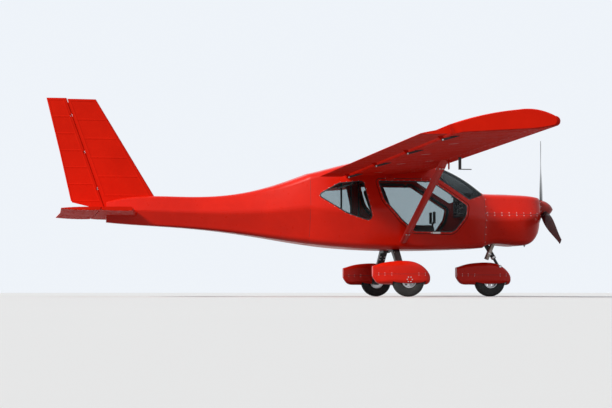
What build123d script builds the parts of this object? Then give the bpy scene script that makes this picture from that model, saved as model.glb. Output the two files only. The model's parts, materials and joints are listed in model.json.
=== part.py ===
from build123d import *
import os
from math import cos, radians, sin, tan

os.makedirs("parts", exist_ok=True)

# Two-seat ultralight with a high braced wing, parked level on three wheels.
# Millimetres. +X forward, +Y to port, +Z up. The origin is on the ground under the middle
# of the aircraft's length. A station is a distance aft of the spinner's tip.

# Overall sizes
overall_length = 6230
wing_span = 9550
thrust_height = 1080
cabin_wall = 18
glass_thickness = 4
door_gap = 8
seat_gap = 0.3
pin_radius = 4
pin_clearance = 0.08
sides = {"left": 1, "right": -1}
far_side = 900
far_top = 1800


def at(aft):
    """X of a station."""
    return overall_length / 2 - aft


def outline(rows):
    """Side view points from (station, height) rows."""
    return [(at(aft), height) for aft, height in rows]


def deliver(part, name):
    part.label = name
    export_step(part, f"parts/{name}.step")


# Body sections. Columns: station, belly height, waist height, shoulder height, crown rise,
# half widths at belly, waist and shoulder, corner radii at belly, waist and shoulder
spinner_length = 205
firewall_station = 990
cabin_end = 3130
boom_end = 5520
cowl_rows = [
    (232, 812, 1030, 1204, 24, 150, 228, 175, 60, 90, 66),
    (330, 672, 985, 1218, 28, 236, 325, 250, 80, 120, 76),
    (560, 622, 950, 1228, 32, 300, 382, 300, 90, 150, 80),
    (firewall_station, 590, 930, 1236, 36, 340, 430, 360, 100, 160, 80),
]
cabin_rows = [
    (firewall_station, 590, 930, 1236, 36, 340, 430, 360, 100, 160, 80),
    (1350, 575, 980, 1455, 42, 420, 560, 470, 100, 200, 80),
    (1750, 565, 1000, 1600, 42, 440, 600, 500, 100, 220, 70),
    (2300, 568, 1010, 1635, 36, 425, 580, 496, 100, 220, 70),
    (cabin_end, 630, 1060, 1458, 26, 300, 420, 380, 100, 160, 80),
]
boom_rows = [
    (cabin_end, 630, 1060, 1458, 26, 300, 420, 380, 100, 160, 80),
    (3450, 675, 1030, 1345, 22, 235, 335, 255, 80, 130, 80),
    (3860, 737, 1010, 1240, 14, 165, 245, 145, 60, 100, 60),
    (4680, 822, 1010, 1186, 10, 85, 135, 70, 35, 60, 35),
    (boom_end, 878, 1000, 1118, 6, 45, 75, 38, 20, 40, 20),
]


crown_flatness = 2.6


def body_section(row, inset=0):
    """A closed body section on its own station plane, moved inwards by the inset."""
    aft, belly, waist, shoulder, rise, w_belly, w_waist, w_top, r_belly, r_waist, r_top = row
    corners = [
        (-w_belly + inset, belly + inset),
        (w_belly - inset, belly + inset),
        (w_waist - inset, waist),
        (w_top - inset, shoulder - inset),
        (0, shoulder + rise - inset),
        (-w_top + inset, shoulder - inset),
        (-w_waist + inset, waist),
    ]
    crown_radius = w_top * w_top / rise / crown_flatness
    radii = [r_belly, r_belly, r_waist, r_top, crown_radius, r_top, r_waist]
    plane = Plane(origin=(at(aft), 0, 0), x_dir=(0, 1, 0), z_dir=(1, 0, 0))
    with BuildSketch(plane) as section:
        with BuildLine():
            FilletPolyline(*corners, radius=radii, close=True)
        make_face()
    return section.sketch


def body_solid(rows, inset=0):
    with BuildPart() as solid:
        add([body_section(row, inset) for row in rows])
        loft()
    return solid.part


def side_prism(rows, radius, grow=0, reach=(-far_side, far_side)):
    """A prism across the body from a side view outline, between two Y values."""
    with BuildPart() as prism:
        with BuildSketch(Plane.XZ.offset(-reach[0])) as profile:
            with BuildLine():
                FilletPolyline(*outline(rows), radius=radius, close=True)
            make_face()
            if grow:
                offset(amount=grow)
        extrude(amount=reach[0] - reach[1])
    return prism.part


def side_reach(side, inner=0, outer=far_side):
    return (inner, outer) if side > 0 else (-outer, -inner)


cabin_outer = body_solid(cabin_rows)
cabin_inner = body_solid(cabin_rows, cabin_wall)
glass_inset = 4
glass_outer = body_solid(cabin_rows, glass_inset)
glass_inner = body_solid(cabin_rows, glass_inset + glass_thickness)

with BuildPart() as cabin_shell:
    add(cabin_outer)
    add(cabin_inner, mode=Mode.SUBTRACT)

with BuildPart() as glass_shell:
    add(glass_outer)
    add(glass_inner, mode=Mode.SUBTRACT)

# Side view outlines of the openings, as (station, height) rows
sill_height = 690
rail_height = 1450
windscreen_end = 1640
frame_width = 24
windscreen_rows = [
    (930, 1212), (1000, 1212), (1205, 1140),
    (windscreen_end, 1418), (windscreen_end, far_top), (930, far_top),
]
door_rows = [
    (2372, 1400), (2290, 1130), (2075, 895), (1905, 757),
    (1390, 748), (1240, 950), (1215, 1100), (1680, 1400),
]
door_radii = [40, 250, 250, 90, 130, 160, 60, 60]
window_rows = [(2400, 893), (2720, 1000), (3045, 1205), (2800, 1345), (2515, 1372)]
window_radii = [45, 300, 30, 60, 40]
skylight_ends = (1690, 2260)
skylight_half_width = 400

windscreen_zone = side_prism(windscreen_rows, 0)


def station_box(aft_front, aft_rear, low, high, inner=-far_side, outer=far_side):
    """A plain box between two stations, two heights and two Y values."""
    with BuildPart() as block:
        with BuildSketch(Plane.XY.offset(low)):
            with Locations(((at(aft_front) + at(aft_rear)) / 2, (inner + outer) / 2)):
                Rectangle(abs(aft_rear - aft_front), outer - inner)
        extrude(amount=high - low)
    return block.part


lug_thickness = 8
lug_radius = 12
lug_reach = 46
lug_shoulder = 2
notch_height = 26
notch_radius = 30


def hinge_lug(point, line, forward):
    """A lug with an eye about a hinge line, reaching forward into what carries it."""
    plane = Plane(origin=point, x_dir=forward, z_dir=line).offset(-lug_thickness / 2)
    with BuildPart() as lug:
        with BuildSketch(plane):
            Circle(lug_radius)
            with Locations((lug_reach / 2, 0)):
                Rectangle(lug_reach, 2 * (lug_radius - lug_shoulder))
            Circle(pin_radius + pin_clearance, mode=Mode.SUBTRACT)
        extrude(amount=lug_thickness)
    return lug.part


def hinge_notch(point, line):
    """What a moving surface loses round a lug: a disc about the hinge line, but not the pin."""
    with BuildPart() as notch:
        with BuildSketch(Plane(origin=point, z_dir=line).offset(-notch_height / 2)):
            Circle(notch_radius)
            Circle(pin_radius, mode=Mode.SUBTRACT)
        extrude(amount=notch_height)
    return notch.part


# Belly panel, firewall and roof
with BuildPart() as belly:
    add(cabin_shell.part)
    add(station_box(firewall_station, cabin_end, 0, sill_height), mode=Mode.INTERSECT)
deliver(belly.part, "belly")

firewall_thickness = 8
firewall_back = firewall_station + firewall_thickness
with BuildPart() as firewall:
    add(cabin_inner)
    add(station_box(firewall_station, firewall_back, 0, far_top), mode=Mode.INTERSECT)
deliver(firewall.part, "firewall")

skylight_zone = station_box(
    *skylight_ends, rail_height, far_top, -skylight_half_width, skylight_half_width
)
with BuildPart() as roof:
    add(cabin_shell.part)
    add(station_box(windscreen_end, cabin_end, rail_height, far_top), mode=Mode.INTERSECT)
    add(skylight_zone, mode=Mode.SUBTRACT)
deliver(roof.part, "roof")

with BuildPart() as skylight:
    add(glass_shell.part)
    add(skylight_zone, mode=Mode.INTERSECT)
deliver(skylight.part, "skylight")

# Windscreen frame and glass
with BuildPart() as windscreen_hole:
    add(side_prism(windscreen_rows, 0, grow=-frame_width))
    add(station_box(firewall_station + frame_width, cabin_end, 0, far_top), mode=Mode.INTERSECT)

with BuildPart() as windscreen_frame:
    add(cabin_shell.part)
    add(windscreen_zone, mode=Mode.INTERSECT)
    add(windscreen_hole.part, mode=Mode.SUBTRACT)
deliver(windscreen_frame.part, "windscreen_frame")

with BuildPart() as windscreen:
    add(glass_shell.part)
    add(windscreen_hole.part, mode=Mode.INTERSECT)
deliver(windscreen.part, "windscreen")

# Cabin sides, doors and quarter windows
side_inner = 100
door_frame_width = 30
door_hinge_across = 544
door_hinge_height = 1404
door_hinge_stations = (1760, 2200)
knuckle_radius = 8
knuckle_length = 34
knuckle_gap = 1
door_pin_radius = 3
strap_length = 28
strap_width = 17
strap_inset = 11


def knuckle(aft, side, way, hole=0):
    """A hinge barrel along X with a strap up (way 1) or down (way -1) the skin."""
    plane = Plane(origin=(at(aft), 0, 0), x_dir=(0, side, 0), z_dir=(side, 0, 0))
    with BuildPart() as barrel:
        with BuildSketch(plane.offset(-knuckle_length / 2)):
            with Locations((door_hinge_across, door_hinge_height)):
                Circle(knuckle_radius)
            with Locations((door_hinge_across - strap_inset, door_hinge_height + way * strap_length / 2)):
                Rectangle(strap_width, strap_length)
            if hole:
                with Locations((door_hinge_across, door_hinge_height)):
                    Circle(hole, mode=Mode.SUBTRACT)
        extrude(amount=knuckle_length)
    return barrel.part


for name, side in sides.items():
    reach = side_reach(side, side_inner)
    door_hole = side_prism(door_rows, door_radii, door_gap, reach)
    door_blank = side_prism(door_rows, door_radii, 0, reach)
    pane_blank = side_prism(door_rows, door_radii, -door_frame_width, reach)
    window_hole = side_prism(window_rows, window_radii, 0, reach)
    half = station_box(firewall_station, cabin_end, sill_height, rail_height, *reach)

    with BuildPart() as cabin_side:
        add(half)
        add(cabin_shell.part, mode=Mode.INTERSECT)
        add(windscreen_zone, mode=Mode.SUBTRACT)
        add(door_hole, mode=Mode.SUBTRACT)
        add(window_hole, mode=Mode.SUBTRACT)
        for aft in door_hinge_stations:
            for end in (-1, 1):
                middle = aft + end * (knuckle_length + knuckle_gap)
                add(knuckle(middle, side, 1))
            with BuildSketch(Plane(origin=(at(aft), 0, 0), x_dir=(0, 1, 0), z_dir=(1, 0, 0))):
                with Locations((side * door_hinge_across, door_hinge_height)):
                    Circle(door_pin_radius)
            extrude(amount=knuckle_length, both=True)
    deliver(cabin_side.part, f"cabin_side_{name}")

    with BuildPart() as door:
        add(cabin_shell.part)
        add(door_blank, mode=Mode.INTERSECT)
        add(pane_blank, mode=Mode.SUBTRACT)
        for aft in door_hinge_stations:
            add(knuckle(aft, side, -1, door_pin_radius + pin_clearance))
    deliver(door.part, f"door_{name}")

    with BuildPart() as door_glass:
        add(glass_shell.part)
        add(pane_blank, mode=Mode.INTERSECT)
    deliver(door_glass.part, f"door_glass_{name}")

    with BuildPart() as quarter_window:
        add(glass_shell.part)
        add(window_hole, mode=Mode.INTERSECT)
    deliver(quarter_window.part, f"quarter_window_{name}")

# Tailplane sections. Columns: half span, leading edge station, chord, thickness
tailplane_height = 985
elevator_hinge = 5665
stabilizer_rows = [(0, 5150, 480, 62), (1190, 5290, 340, 44)]
tail_bulge_place, tail_bulge, stabilizer_back = 0.45, 1.02, 0.38


def flat_tail_section(half_span, lead, chord, thick, blunt):
    """Half-lens section with a round nose and a blunt or thin tail, on a plane across Y."""
    plane = Plane(origin=(at(lead), half_span, tailplane_height), x_dir=(-1, 0, 0), z_dir=(0, 1, 0))
    half = thick / 2
    with BuildSketch(plane) as section:
        with BuildLine():
            ThreePointArc((half, -half), (0, 0), (half, half))
            ThreePointArc((half, half), (chord * tail_bulge_place, half * tail_bulge), (chord, blunt))
            Line((chord, blunt), (chord, -blunt))
            ThreePointArc((chord, -blunt), (chord * tail_bulge_place, -half * tail_bulge), (half, -half))
        make_face()
    return section.sketch


with BuildPart() as stabilizer_half:
    for span, lead, chord, thick in stabilizer_rows:
        add(flat_tail_section(span, lead, chord, thick, thick * stabilizer_back))
    loft()

elevator_hinge_spans = (-1080, -620, -160, 160, 620, 1080)
elevator_line = (0, 1, 0)
with BuildPart() as stabilizer:
    add(stabilizer_half.part)
    mirror(about=Plane.XZ)
    for span in elevator_hinge_spans:
        add(hinge_lug((at(elevator_hinge), span, tailplane_height), elevator_line, (1, 0, 0)))
deliver(stabilizer.part, "stabilizer")

# Elevator sections. Columns: half span, chord, thickness
elevator_rows = [(0, 418, 46), (1190, 434, 34)]
elevator_edge = 3
with BuildPart() as elevator_half:
    for span, chord, thick in elevator_rows:
        add(flat_tail_section(span, elevator_hinge - thick / 2, chord, thick, elevator_edge))
    loft()

tab_half_span = 260
tab_chord = 83
tab_side_gap = 5
tab_front = elevator_hinge - elevator_rows[0][2] / 2 + elevator_rows[0][1] - tab_chord


def tab_block(front_gap, side_gap):
    """The zone of the elevator's trim tab, less its gaps."""
    half = tab_half_span - side_gap
    return station_box(tab_front + front_gap, overall_length, 0, far_top, -half, half)


with BuildPart() as elevator_whole:
    add(elevator_half.part)
    mirror(about=Plane.XZ)
    for span in elevator_hinge_spans:
        add(hinge_notch((at(elevator_hinge), span, tailplane_height), elevator_line), mode=Mode.SUBTRACT)

with BuildPart() as elevator:
    add(elevator_whole.part)
    add(tab_block(0, 0), mode=Mode.SUBTRACT)
deliver(elevator.part, "elevator")

with BuildPart() as trim_tab:
    add(elevator_whole.part)
    add(tab_block(seat_gap, tab_side_gap), mode=Mode.INTERSECT)
deliver(trim_tab.part, "trim_tab")

# Tail boom, a closed shell slotted for the tailplane
boom_wall = 6
boom_outer = body_solid(boom_rows)
boom_inner_rows = [
    (cabin_end + boom_wall, *boom_rows[0][1:]),
    *boom_rows[1:-1],
    (boom_end - boom_wall, *boom_rows[-1][1:]),
]
with BuildPart() as tail_boom:
    add(boom_outer)
    add(body_solid(boom_inner_rows, boom_wall), mode=Mode.SUBTRACT)
    add(stabilizer.part, mode=Mode.SUBTRACT)
deliver(tail_boom.part, "tail_boom")

# Fin and rudder. Each row: height, leading edge station, hinge station, trailing edge station
fin_low = 1060
fin_rows = [(fin_low, 4870, 5530), (2340, 5650, 5985)]
fin_bulge = 0.62


def upright_section(height, lead, tail, thick_lead, thick_tail):
    """Fin section on a level plane, round in front, with a flat tail."""
    chord = tail - lead
    nose = thick_lead / 2
    end = thick_tail / 2
    plane = Plane(origin=(at(lead), 0, height), x_dir=(-1, 0, 0), z_dir=(0, 0, 1))
    with BuildSketch(plane) as section:
        with BuildLine():
            ThreePointArc((nose, -nose), (0, 0), (nose, nose))
            ThreePointArc((nose, nose), (chord * 0.5, (nose + end) * fin_bulge), (chord, end))
            Line((chord, end), (chord, -end))
            ThreePointArc((chord, -end), (chord * 0.5, -(nose + end) * fin_bulge), (nose, -nose))
        make_face()
    return section.sketch


# Thickness in front and behind, at the low and the high section
fin_thickness = [(46, 52), (30, 34)]
rudder_rows = [(1040, 5553, 5904), (2350, 6012, overall_length)]
rudder_low = Vector(at(rudder_rows[0][1]), 0, rudder_rows[0][0])
rudder_high = Vector(at(rudder_rows[1][1]), 0, rudder_rows[1][0])
rudder_line = (rudder_high - rudder_low).normalized()
rudder_hinge_runs = (248, 708, 1168)
rudder_hinge_points = [rudder_low + rudder_line * run for run in rudder_hinge_runs]
rudder_forward = Vector(rudder_line.Z, 0, -rudder_line.X)
with BuildPart() as fin:
    for (height, lead, tail), (front, back) in zip(fin_rows, fin_thickness):
        add(upright_section(height, lead, tail, front, back))
    loft()
    for point in rudder_hinge_points:
        add(hinge_lug(point, rudder_line, rudder_forward))
    add(boom_outer, mode=Mode.SUBTRACT)
    add(stabilizer.part, mode=Mode.SUBTRACT)
deliver(fin.part, "fin")

rudder_thickness = [(50, 8), (32, 6)]
# The foot of the rudder rises aft, clear of the raised elevator
rudder_foot_rows = [(5500, 1000), (5500, 1041), (5620, 1041), (5960, 1122), (5960, 1000)]
with BuildPart() as rudder:
    for (height, lead, tail), (front, back) in zip(rudder_rows, rudder_thickness):
        add(upright_section(height, lead - front / 2, tail, front, back))
    loft()
    add(side_prism(rudder_foot_rows, 0), mode=Mode.SUBTRACT)
    for point in rudder_hinge_points:
        add(hinge_notch(point, rudder_line), mode=Mode.SUBTRACT)
deliver(rudder.part, "rudder")

# Wing. The section's own frame runs aft along the chord from the leading edge.
wing_root = 500
wing_root_inner = 420
wing_tip = 4715
wing_lead = 1700
wing_lead_height = 1540
wing_chord = 1360
wing_incidence = 5.4
wing_sweep = 2.75
wing_dihedral = 1.7
flaperon_root = 600
flaperon_tip = 4706
flaperon_chord = 290
flaperon_nose = 24
flaperon_edge = 4
flaperon_top_bulge, flaperon_low_bulge = 0.72, 0.62
nose_station = 1098
pivot_drop = 58
bracket_spans = (900, 2120, 3340, 4520)
# Section points as shares of the chord, aft and up
section_low, section_nose, section_front = (0.022, -0.024), (0, 0.002), (0.030, 0.044)
section_rise, section_top, section_fall = (0.130, 0.091), (0.300, 0.110), (0.560, 0.091)
section_back, section_heel, section_foot = (0.796, 0.045), (0.755, -0.022), (0.300, -0.034)
section_chin = (0.130, -0.034)
tip_shift, tip_lift = 0.4, 0.03


def wing_plane(span, side):
    """Section plane at a half span, its X aft along the chord and its Y upwards."""
    out = span - wing_root
    origin = (
        at(wing_lead - out * tan(radians(wing_sweep))),
        side * span,
        wing_lead_height + out * tan(radians(wing_dihedral)),
    )
    slope = radians(wing_incidence)
    return Plane(origin=origin, x_dir=(-cos(slope), 0, -sin(slope)), z_dir=(0, 1, 0))


def wing_section(span, side, scale=1.0):
    """Wing section in arcs, cut off ahead of the flaperon. A smaller one keeps its middle in line."""
    chord = wing_chord * scale
    lost = wing_chord - chord
    plane = wing_plane(span, side)
    plane.origin = plane.from_local_coords((lost * tip_shift, lost * tip_lift, 0))

    def spot(shares):
        return (shares[0] * chord, shares[1] * chord)

    with BuildSketch(plane) as section:
        with BuildLine():
            ThreePointArc(spot(section_low), spot(section_nose), spot(section_front))
            ThreePointArc(spot(section_front), spot(section_rise), spot(section_top))
            ThreePointArc(spot(section_top), spot(section_fall), spot(section_back))
            Polyline(spot(section_back), spot(section_heel), spot(section_foot))
            ThreePointArc(spot(section_foot), spot(section_chin), spot(section_low))
        make_face()
    return section.sketch


def flaperon_section(span, side):
    """Flaperon section, its round nose ahead of the hinge line."""
    n = nose_station
    tail = n + flaperon_chord - flaperon_nose
    middle = (n + tail) / 2
    r = flaperon_nose
    edge = flaperon_edge / 2
    with BuildSketch(wing_plane(span, side)) as section:
        with BuildLine():
            ThreePointArc((n, -r), (n - r, 0), (n, r))
            ThreePointArc((n, r), (middle, r * flaperon_top_bulge), (tail, edge))
            Line((tail, edge), (tail, -edge))
            ThreePointArc((tail, -edge), (middle, -r * flaperon_low_bulge), (n, -r))
        make_face()
    return section.sketch


def hinge_plane(span, side):
    """Plane across the flaperon hinge line, with the pivot at its origin."""
    pivot = wing_plane(span, side).from_local_coords((nose_station, -pivot_drop, 0))
    line = Vector(tan(radians(wing_sweep)) * side, 1, tan(radians(wing_dihedral)) * side)
    slope = radians(wing_incidence)
    aft = Vector(-cos(slope), 0, -sin(slope))
    aft = aft - line.normalized() * aft.dot(line.normalized())
    return Plane(origin=pivot, x_dir=aft, z_dir=line)


plate = 5
horn_radius = 14
horn_outline = [(-14, 0), (-6, pivot_drop - 10), (60, pivot_drop - 8), (14, 0)]
bracket_outline = [(-190, 60), (-170, 20), (0, -12), (0, 12), (-80, 22), (-80, 60)]
bracket_radius = 12
strut_foot, strut_head = (2020, 470, 650), (1920, 2030, 1500)
strut_chord, strut_thickness = 92, 34
strut_buried = 40
# Tie-down eye: station, further out than the strut's head, height, thickness
eye_station, eye_outward, eye_height, eye_thickness = 1870, 10, 1460, 8
wing_tip_rows = [(wing_tip, 1.0), (4752, 0.975), (wing_span / 2, 0.90)]
for name, side in sides.items():
    with BuildPart() as wing:
        add(wing_section(wing_root_inner, side))
        add(wing_section(wing_tip, side))
        loft()
        for span, scale in wing_tip_rows:
            add(wing_section(span, side, scale))
        loft()
        add(cabin_outer, mode=Mode.SUBTRACT)
    deliver(wing.part, f"wing_{name}")

    with BuildPart() as flaperon:
        add(flaperon_section(flaperon_root, side))
        add(flaperon_section(flaperon_tip, side))
        loft()
        for span in bracket_spans:
            with BuildSketch(hinge_plane(span, side).offset(plate / 2 + 1)):
                with BuildLine():
                    Polyline(*horn_outline, close=True)
                make_face()
                Circle(horn_radius)
                Circle(pin_radius + pin_clearance, mode=Mode.SUBTRACT)
            extrude(amount=plate)
    deliver(flaperon.part, f"flaperon_{name}")

    with BuildPart() as hinges:
        for span in bracket_spans:
            with BuildSketch(hinge_plane(span, side).offset(-plate / 2)):
                with BuildLine():
                    Polyline(*bracket_outline, close=True)
                make_face()
                Circle(bracket_radius)
            extrude(amount=plate)
            with BuildSketch(hinge_plane(span, side)):
                Circle(pin_radius)
            extrude(amount=plate * 3)
        add(wing.part, mode=Mode.SUBTRACT)
    deliver(hinges.part, f"flaperon_hinges_{name}")

    # Lift strut between the sill and the wing, with a tie-down eye under its top
    strut_low, strut_high = (Vector(at(aft), side * out, up) for aft, out, up in (strut_foot, strut_head))
    along = (strut_high - strut_low).normalized()
    with BuildPart() as strut:
        with BuildSketch(Plane(origin=strut_low, x_dir=(1, 0, 0), z_dir=along)):
            with BuildLine():
                for way in (1, -1):
                    ends = [(way * strut_chord / 2, 0), (-way * strut_chord / 2, 0)]
                    ThreePointArc(ends[0], (0, way * strut_thickness / 2), ends[1])
            make_face()
        extrude(amount=(strut_high - strut_low).length + strut_buried)
        eye_point = (at(eye_station), side * (strut_head[1] + eye_outward), eye_height)
        with BuildSketch(Plane(origin=eye_point, x_dir=(0, 1, 0), z_dir=(1, 0, 0))):
            RectangleRounded(44, 110, 20)
            with Locations((0, -34)):
                Circle(9, mode=Mode.SUBTRACT)
        extrude(amount=-eye_thickness)
        add(wing.part, mode=Mode.SUBTRACT)
        add(cabin_outer, mode=Mode.SUBTRACT)
    deliver(strut.part.solids().sort_by(SortBy.VOLUME)[-1], f"strut_{name}")

# Cowling, an open shell around the engine
cowl_wall = 8
cowl_split = 1000
cowl_inner_rows = [(cowl_rows[0][0] + cowl_wall, *cowl_rows[0][1:]), *cowl_rows[1:]]
cowl_outer = body_solid(cowl_rows)
cowl_inner = body_solid(cowl_inner_rows, cowl_wall)
with BuildPart() as cowl_shell:
    add(cowl_outer)
    add(cowl_inner, mode=Mode.SUBTRACT)

# Engine block with its gearbox, reaching from the firewall to the spinner
engine_front = 400
engine_width, engine_height, engine_middle = 560, 260, 990
gearbox_radius = 62
engine_plane = Plane(origin=(at(engine_front), 0, 0), x_dir=(0, 1, 0), z_dir=(1, 0, 0))
with BuildPart() as engine:
    with BuildSketch(engine_plane):
        with Locations((0, engine_middle)):
            RectangleRounded(engine_width, engine_height, 30)
    extrude(amount=engine_front - firewall_station + seat_gap)
    with BuildSketch(engine_plane):
        with Locations((0, thrust_height)):
            Circle(gearbox_radius)
    extrude(amount=engine_front - spinner_length - seat_gap)
deliver(engine.part, "engine")

# Propeller and spinner
prop_radius = 850
shaft_plane = Plane(origin=(0, 0, thrust_height), x_dir=(1, 0, 0), z_dir=(0, -1, 0))
shaft_axis = Axis((0, 0, thrust_height), (1, 0, 0))
spinner_rim = (at(spinner_length), 110)
spinner_bulge = (70, 80)
with BuildPart() as spinner:
    with BuildSketch(shaft_plane):
        with BuildLine():
            ThreePointArc((at(0), 0), (at(spinner_bulge[0]), spinner_bulge[1]), spinner_rim)
            Polyline(spinner_rim, (at(spinner_length), 0), (at(0), 0))
        make_face()
    revolve(axis=shaft_axis)
deliver(spinner.part, "spinner")

# Propeller blades. Columns: radius, chord, pitch angle, thickness
blade_rows = [(92, 74, 46, 24), (260, 128, 33, 17), (560, 112, 20, 11), (prop_radius, 62, 12, 6)]
blade_station = 150
blade_count = 3
blade_back, blade_face = 0.7, 0.3


def blade_section(radius, chord, pitch, thick):
    turn = radians(pitch)
    origin = (at(blade_station), 0, thrust_height + radius)
    with BuildSketch(Plane(origin=origin, x_dir=(sin(turn), cos(turn), 0), z_dir=(0, 0, 1))) as section:
        with BuildLine():
            ThreePointArc((-chord / 2, 0), (0, thick * blade_back), (chord / 2, 0))
            ThreePointArc((chord / 2, 0), (0, -thick * blade_face), (-chord / 2, 0))
        make_face()
    return section.sketch


with BuildPart() as blade:
    for row in blade_rows:
        add(blade_section(*row))
    loft()
    add(spinner.part, mode=Mode.SUBTRACT)

with BuildPart() as propeller:
    for number in range(blade_count):
        add(blade.part.rotate(shaft_axis, 360 / blade_count * number))
deliver(propeller.part, "propeller")

# Radiator hung under the engine, and exhaust pipe
engine_low = engine_middle - engine_height / 2
radiator_width, radiator_height, radiator_depth = 300, 140, 50
with BuildPart() as radiator:
    with BuildSketch(engine_plane):
        with Locations((0, engine_low - radiator_height / 2)):
            Rectangle(radiator_width, radiator_height - 2 * seat_gap)
    extrude(amount=-radiator_depth)
deliver(radiator.part, "radiator")

pipe_radius = 28
pipe_wall = 3
pipe_gap = 6
pipe_top = Vector(at(727), -150, engine_low - seat_gap)
pipe_end = Vector(at(903), -150, 455)
pipe_plane = Plane(origin=pipe_end, x_dir=(0, 1, 0), z_dir=pipe_top - pipe_end)
with BuildPart() as exhaust_pipe:
    with BuildSketch(pipe_plane):
        Circle(pipe_radius)
        Circle(pipe_radius - pipe_wall, mode=Mode.SUBTRACT)
    extrude(amount=(pipe_top - pipe_end).length + 2 * pipe_radius)
    add(station_box(0, cabin_end, engine_low - seat_gap, far_top), mode=Mode.SUBTRACT)
deliver(exhaust_pipe.part, "exhaust_pipe")

# Cowling halves, cut for the intake, the shaft and the exhaust pipe
intake_width, intake_height, intake_middle = 270, 72, 772
intake_pitch, intake_bar = 18, 4
shaft_hole = 75
with BuildPart() as cowl_cuts:
    with BuildSketch(engine_plane):
        with Locations((0, intake_middle)):
            RectangleRounded(intake_width, intake_height, 30)
        with Locations([(0, intake_middle + rise) for rise in (-intake_pitch, 0, intake_pitch)]):
            Rectangle(intake_width, intake_bar, mode=Mode.SUBTRACT)
        with Locations((0, thrust_height)):
            Circle(shaft_hole)
    extrude(amount=engine_front - spinner_length)
    with BuildSketch(pipe_plane):
        Circle(pipe_radius + pipe_gap)
    extrude(amount=(pipe_top - pipe_end).length)
for name, low, high in (("cowl_upper", cowl_split, far_top), ("cowl_lower", 0, cowl_split)):
    with BuildPart() as cowl:
        add(cowl_shell.part)
        add(station_box(0, firewall_station, low, high), mode=Mode.INTERSECT)
        add(cowl_cuts.part, mode=Mode.SUBTRACT)
    deliver(cowl.part, name)

# Wheels
tyre_radius = 190
tyre_width = 124
rim_radius = 88
axle_radius = 12.5
axle_clearance = 0.05
main_station = 2060
nose_wheel_station = 820
half_track = 875
wheel_places = {
    "main_left": (main_station, half_track),
    "main_right": (main_station, -half_track),
    "nose": (nose_wheel_station, 0),
}
half_tyre = tyre_width / 2
half_rim = 50
tyre_outline = [
    (-half_rim, rim_radius), (-half_tyre, 120), (2 - half_tyre, 165), (-38, tyre_radius),
    (38, tyre_radius), (half_tyre - 2, 165), (half_tyre, 120), (half_rim, rim_radius),
]
tyre_radii = [0, 25, 26, 18, 18, 26, 25, 0]
bore = axle_radius + axle_clearance
rim_outline = [
    (-58, bore), (-58, 26), (-12, 34), (-12, 76), (-half_rim, 76), (-half_rim, rim_radius),
    (half_rim, rim_radius), (half_rim, 76), (12, 76), (12, 34), (58, 26), (58, bore),
]
for name, (aft, across) in wheel_places.items():
    wheel_plane = Plane(origin=(at(aft), across, tyre_radius), x_dir=(0, 1, 0), z_dir=(1, 0, 0))
    wheel_axis = Axis((at(aft), across, tyre_radius), (0, 1, 0))
    with BuildPart() as tyre:
        with BuildSketch(wheel_plane):
            with BuildLine():
                FilletPolyline(*tyre_outline, radius=tyre_radii, close=True)
            make_face()
        revolve(axis=wheel_axis)
    deliver(tyre.part, f"{name}_tyre")

    with BuildPart() as rim:
        with BuildSketch(wheel_plane):
            with BuildLine():
                Polyline(*rim_outline, close=True)
            make_face()
        revolve(axis=wheel_axis)
    deliver(rim.part, f"{name}_rim")

# Wheel spats, a loft of upright sections. Columns: distance aft of the axle,
# bottom and top above the axle, how much narrower each side is, corner radius
spat_rows = [
    (-258, -8, 62, 52, 26),
    (-240, -34, 96, 34, 40),
    (-185, -50, 156, 13, 56),
    (-60, -54, 218, 0, 66),
    (120, -52, 228, 3, 66),
    (300, -44, 205, 26, 50),
    (425, 44, 168, 50, 26),
]
spat_cavity = 205
spat_wall = 8
mouth_low, mouth_high = -205, 5


def spat_loft(aft, across, half_width, inset=0):
    with BuildPart() as solid:
        for behind, bottom, top, narrower, radius in spat_rows:
            middle = tyre_radius + (bottom + top) / 2
            plane = Plane(origin=(at(aft + behind), across, middle), x_dir=(0, 1, 0), z_dir=(1, 0, 0))
            width = 2 * (half_width - narrower - inset)
            with BuildSketch(plane):
                RectangleRounded(width, top - bottom - 2 * inset, radius - inset)
        loft()
    return solid.part


def spat_solid(aft, across, half_width):
    """A thin spat with a well for the wheel, open below."""
    plane = Plane(origin=(at(aft), across + half_width, tyre_radius), x_dir=(-1, 0, 0), z_dir=(0, 1, 0))
    with BuildPart() as well:
        with BuildSketch(plane):
            Circle(spat_cavity)
        extrude(amount=-2 * half_width)
        add(spat_loft(aft, across, half_width, spat_wall), mode=Mode.INTERSECT)
    with BuildPart() as mouth:
        with BuildSketch(plane.offset(-spat_wall * 2)):
            with Locations((0, (mouth_low + mouth_high) / 2)):
                Rectangle(2 * (spat_cavity - spat_wall), mouth_high - mouth_low)
        extrude(amount=-2 * (half_width - spat_wall * 2))
    with BuildPart() as spat:
        add(spat_loft(aft, across, half_width))
        add(well.part, mode=Mode.SUBTRACT)
        add(mouth.part, mode=Mode.SUBTRACT)
    return spat.part


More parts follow.
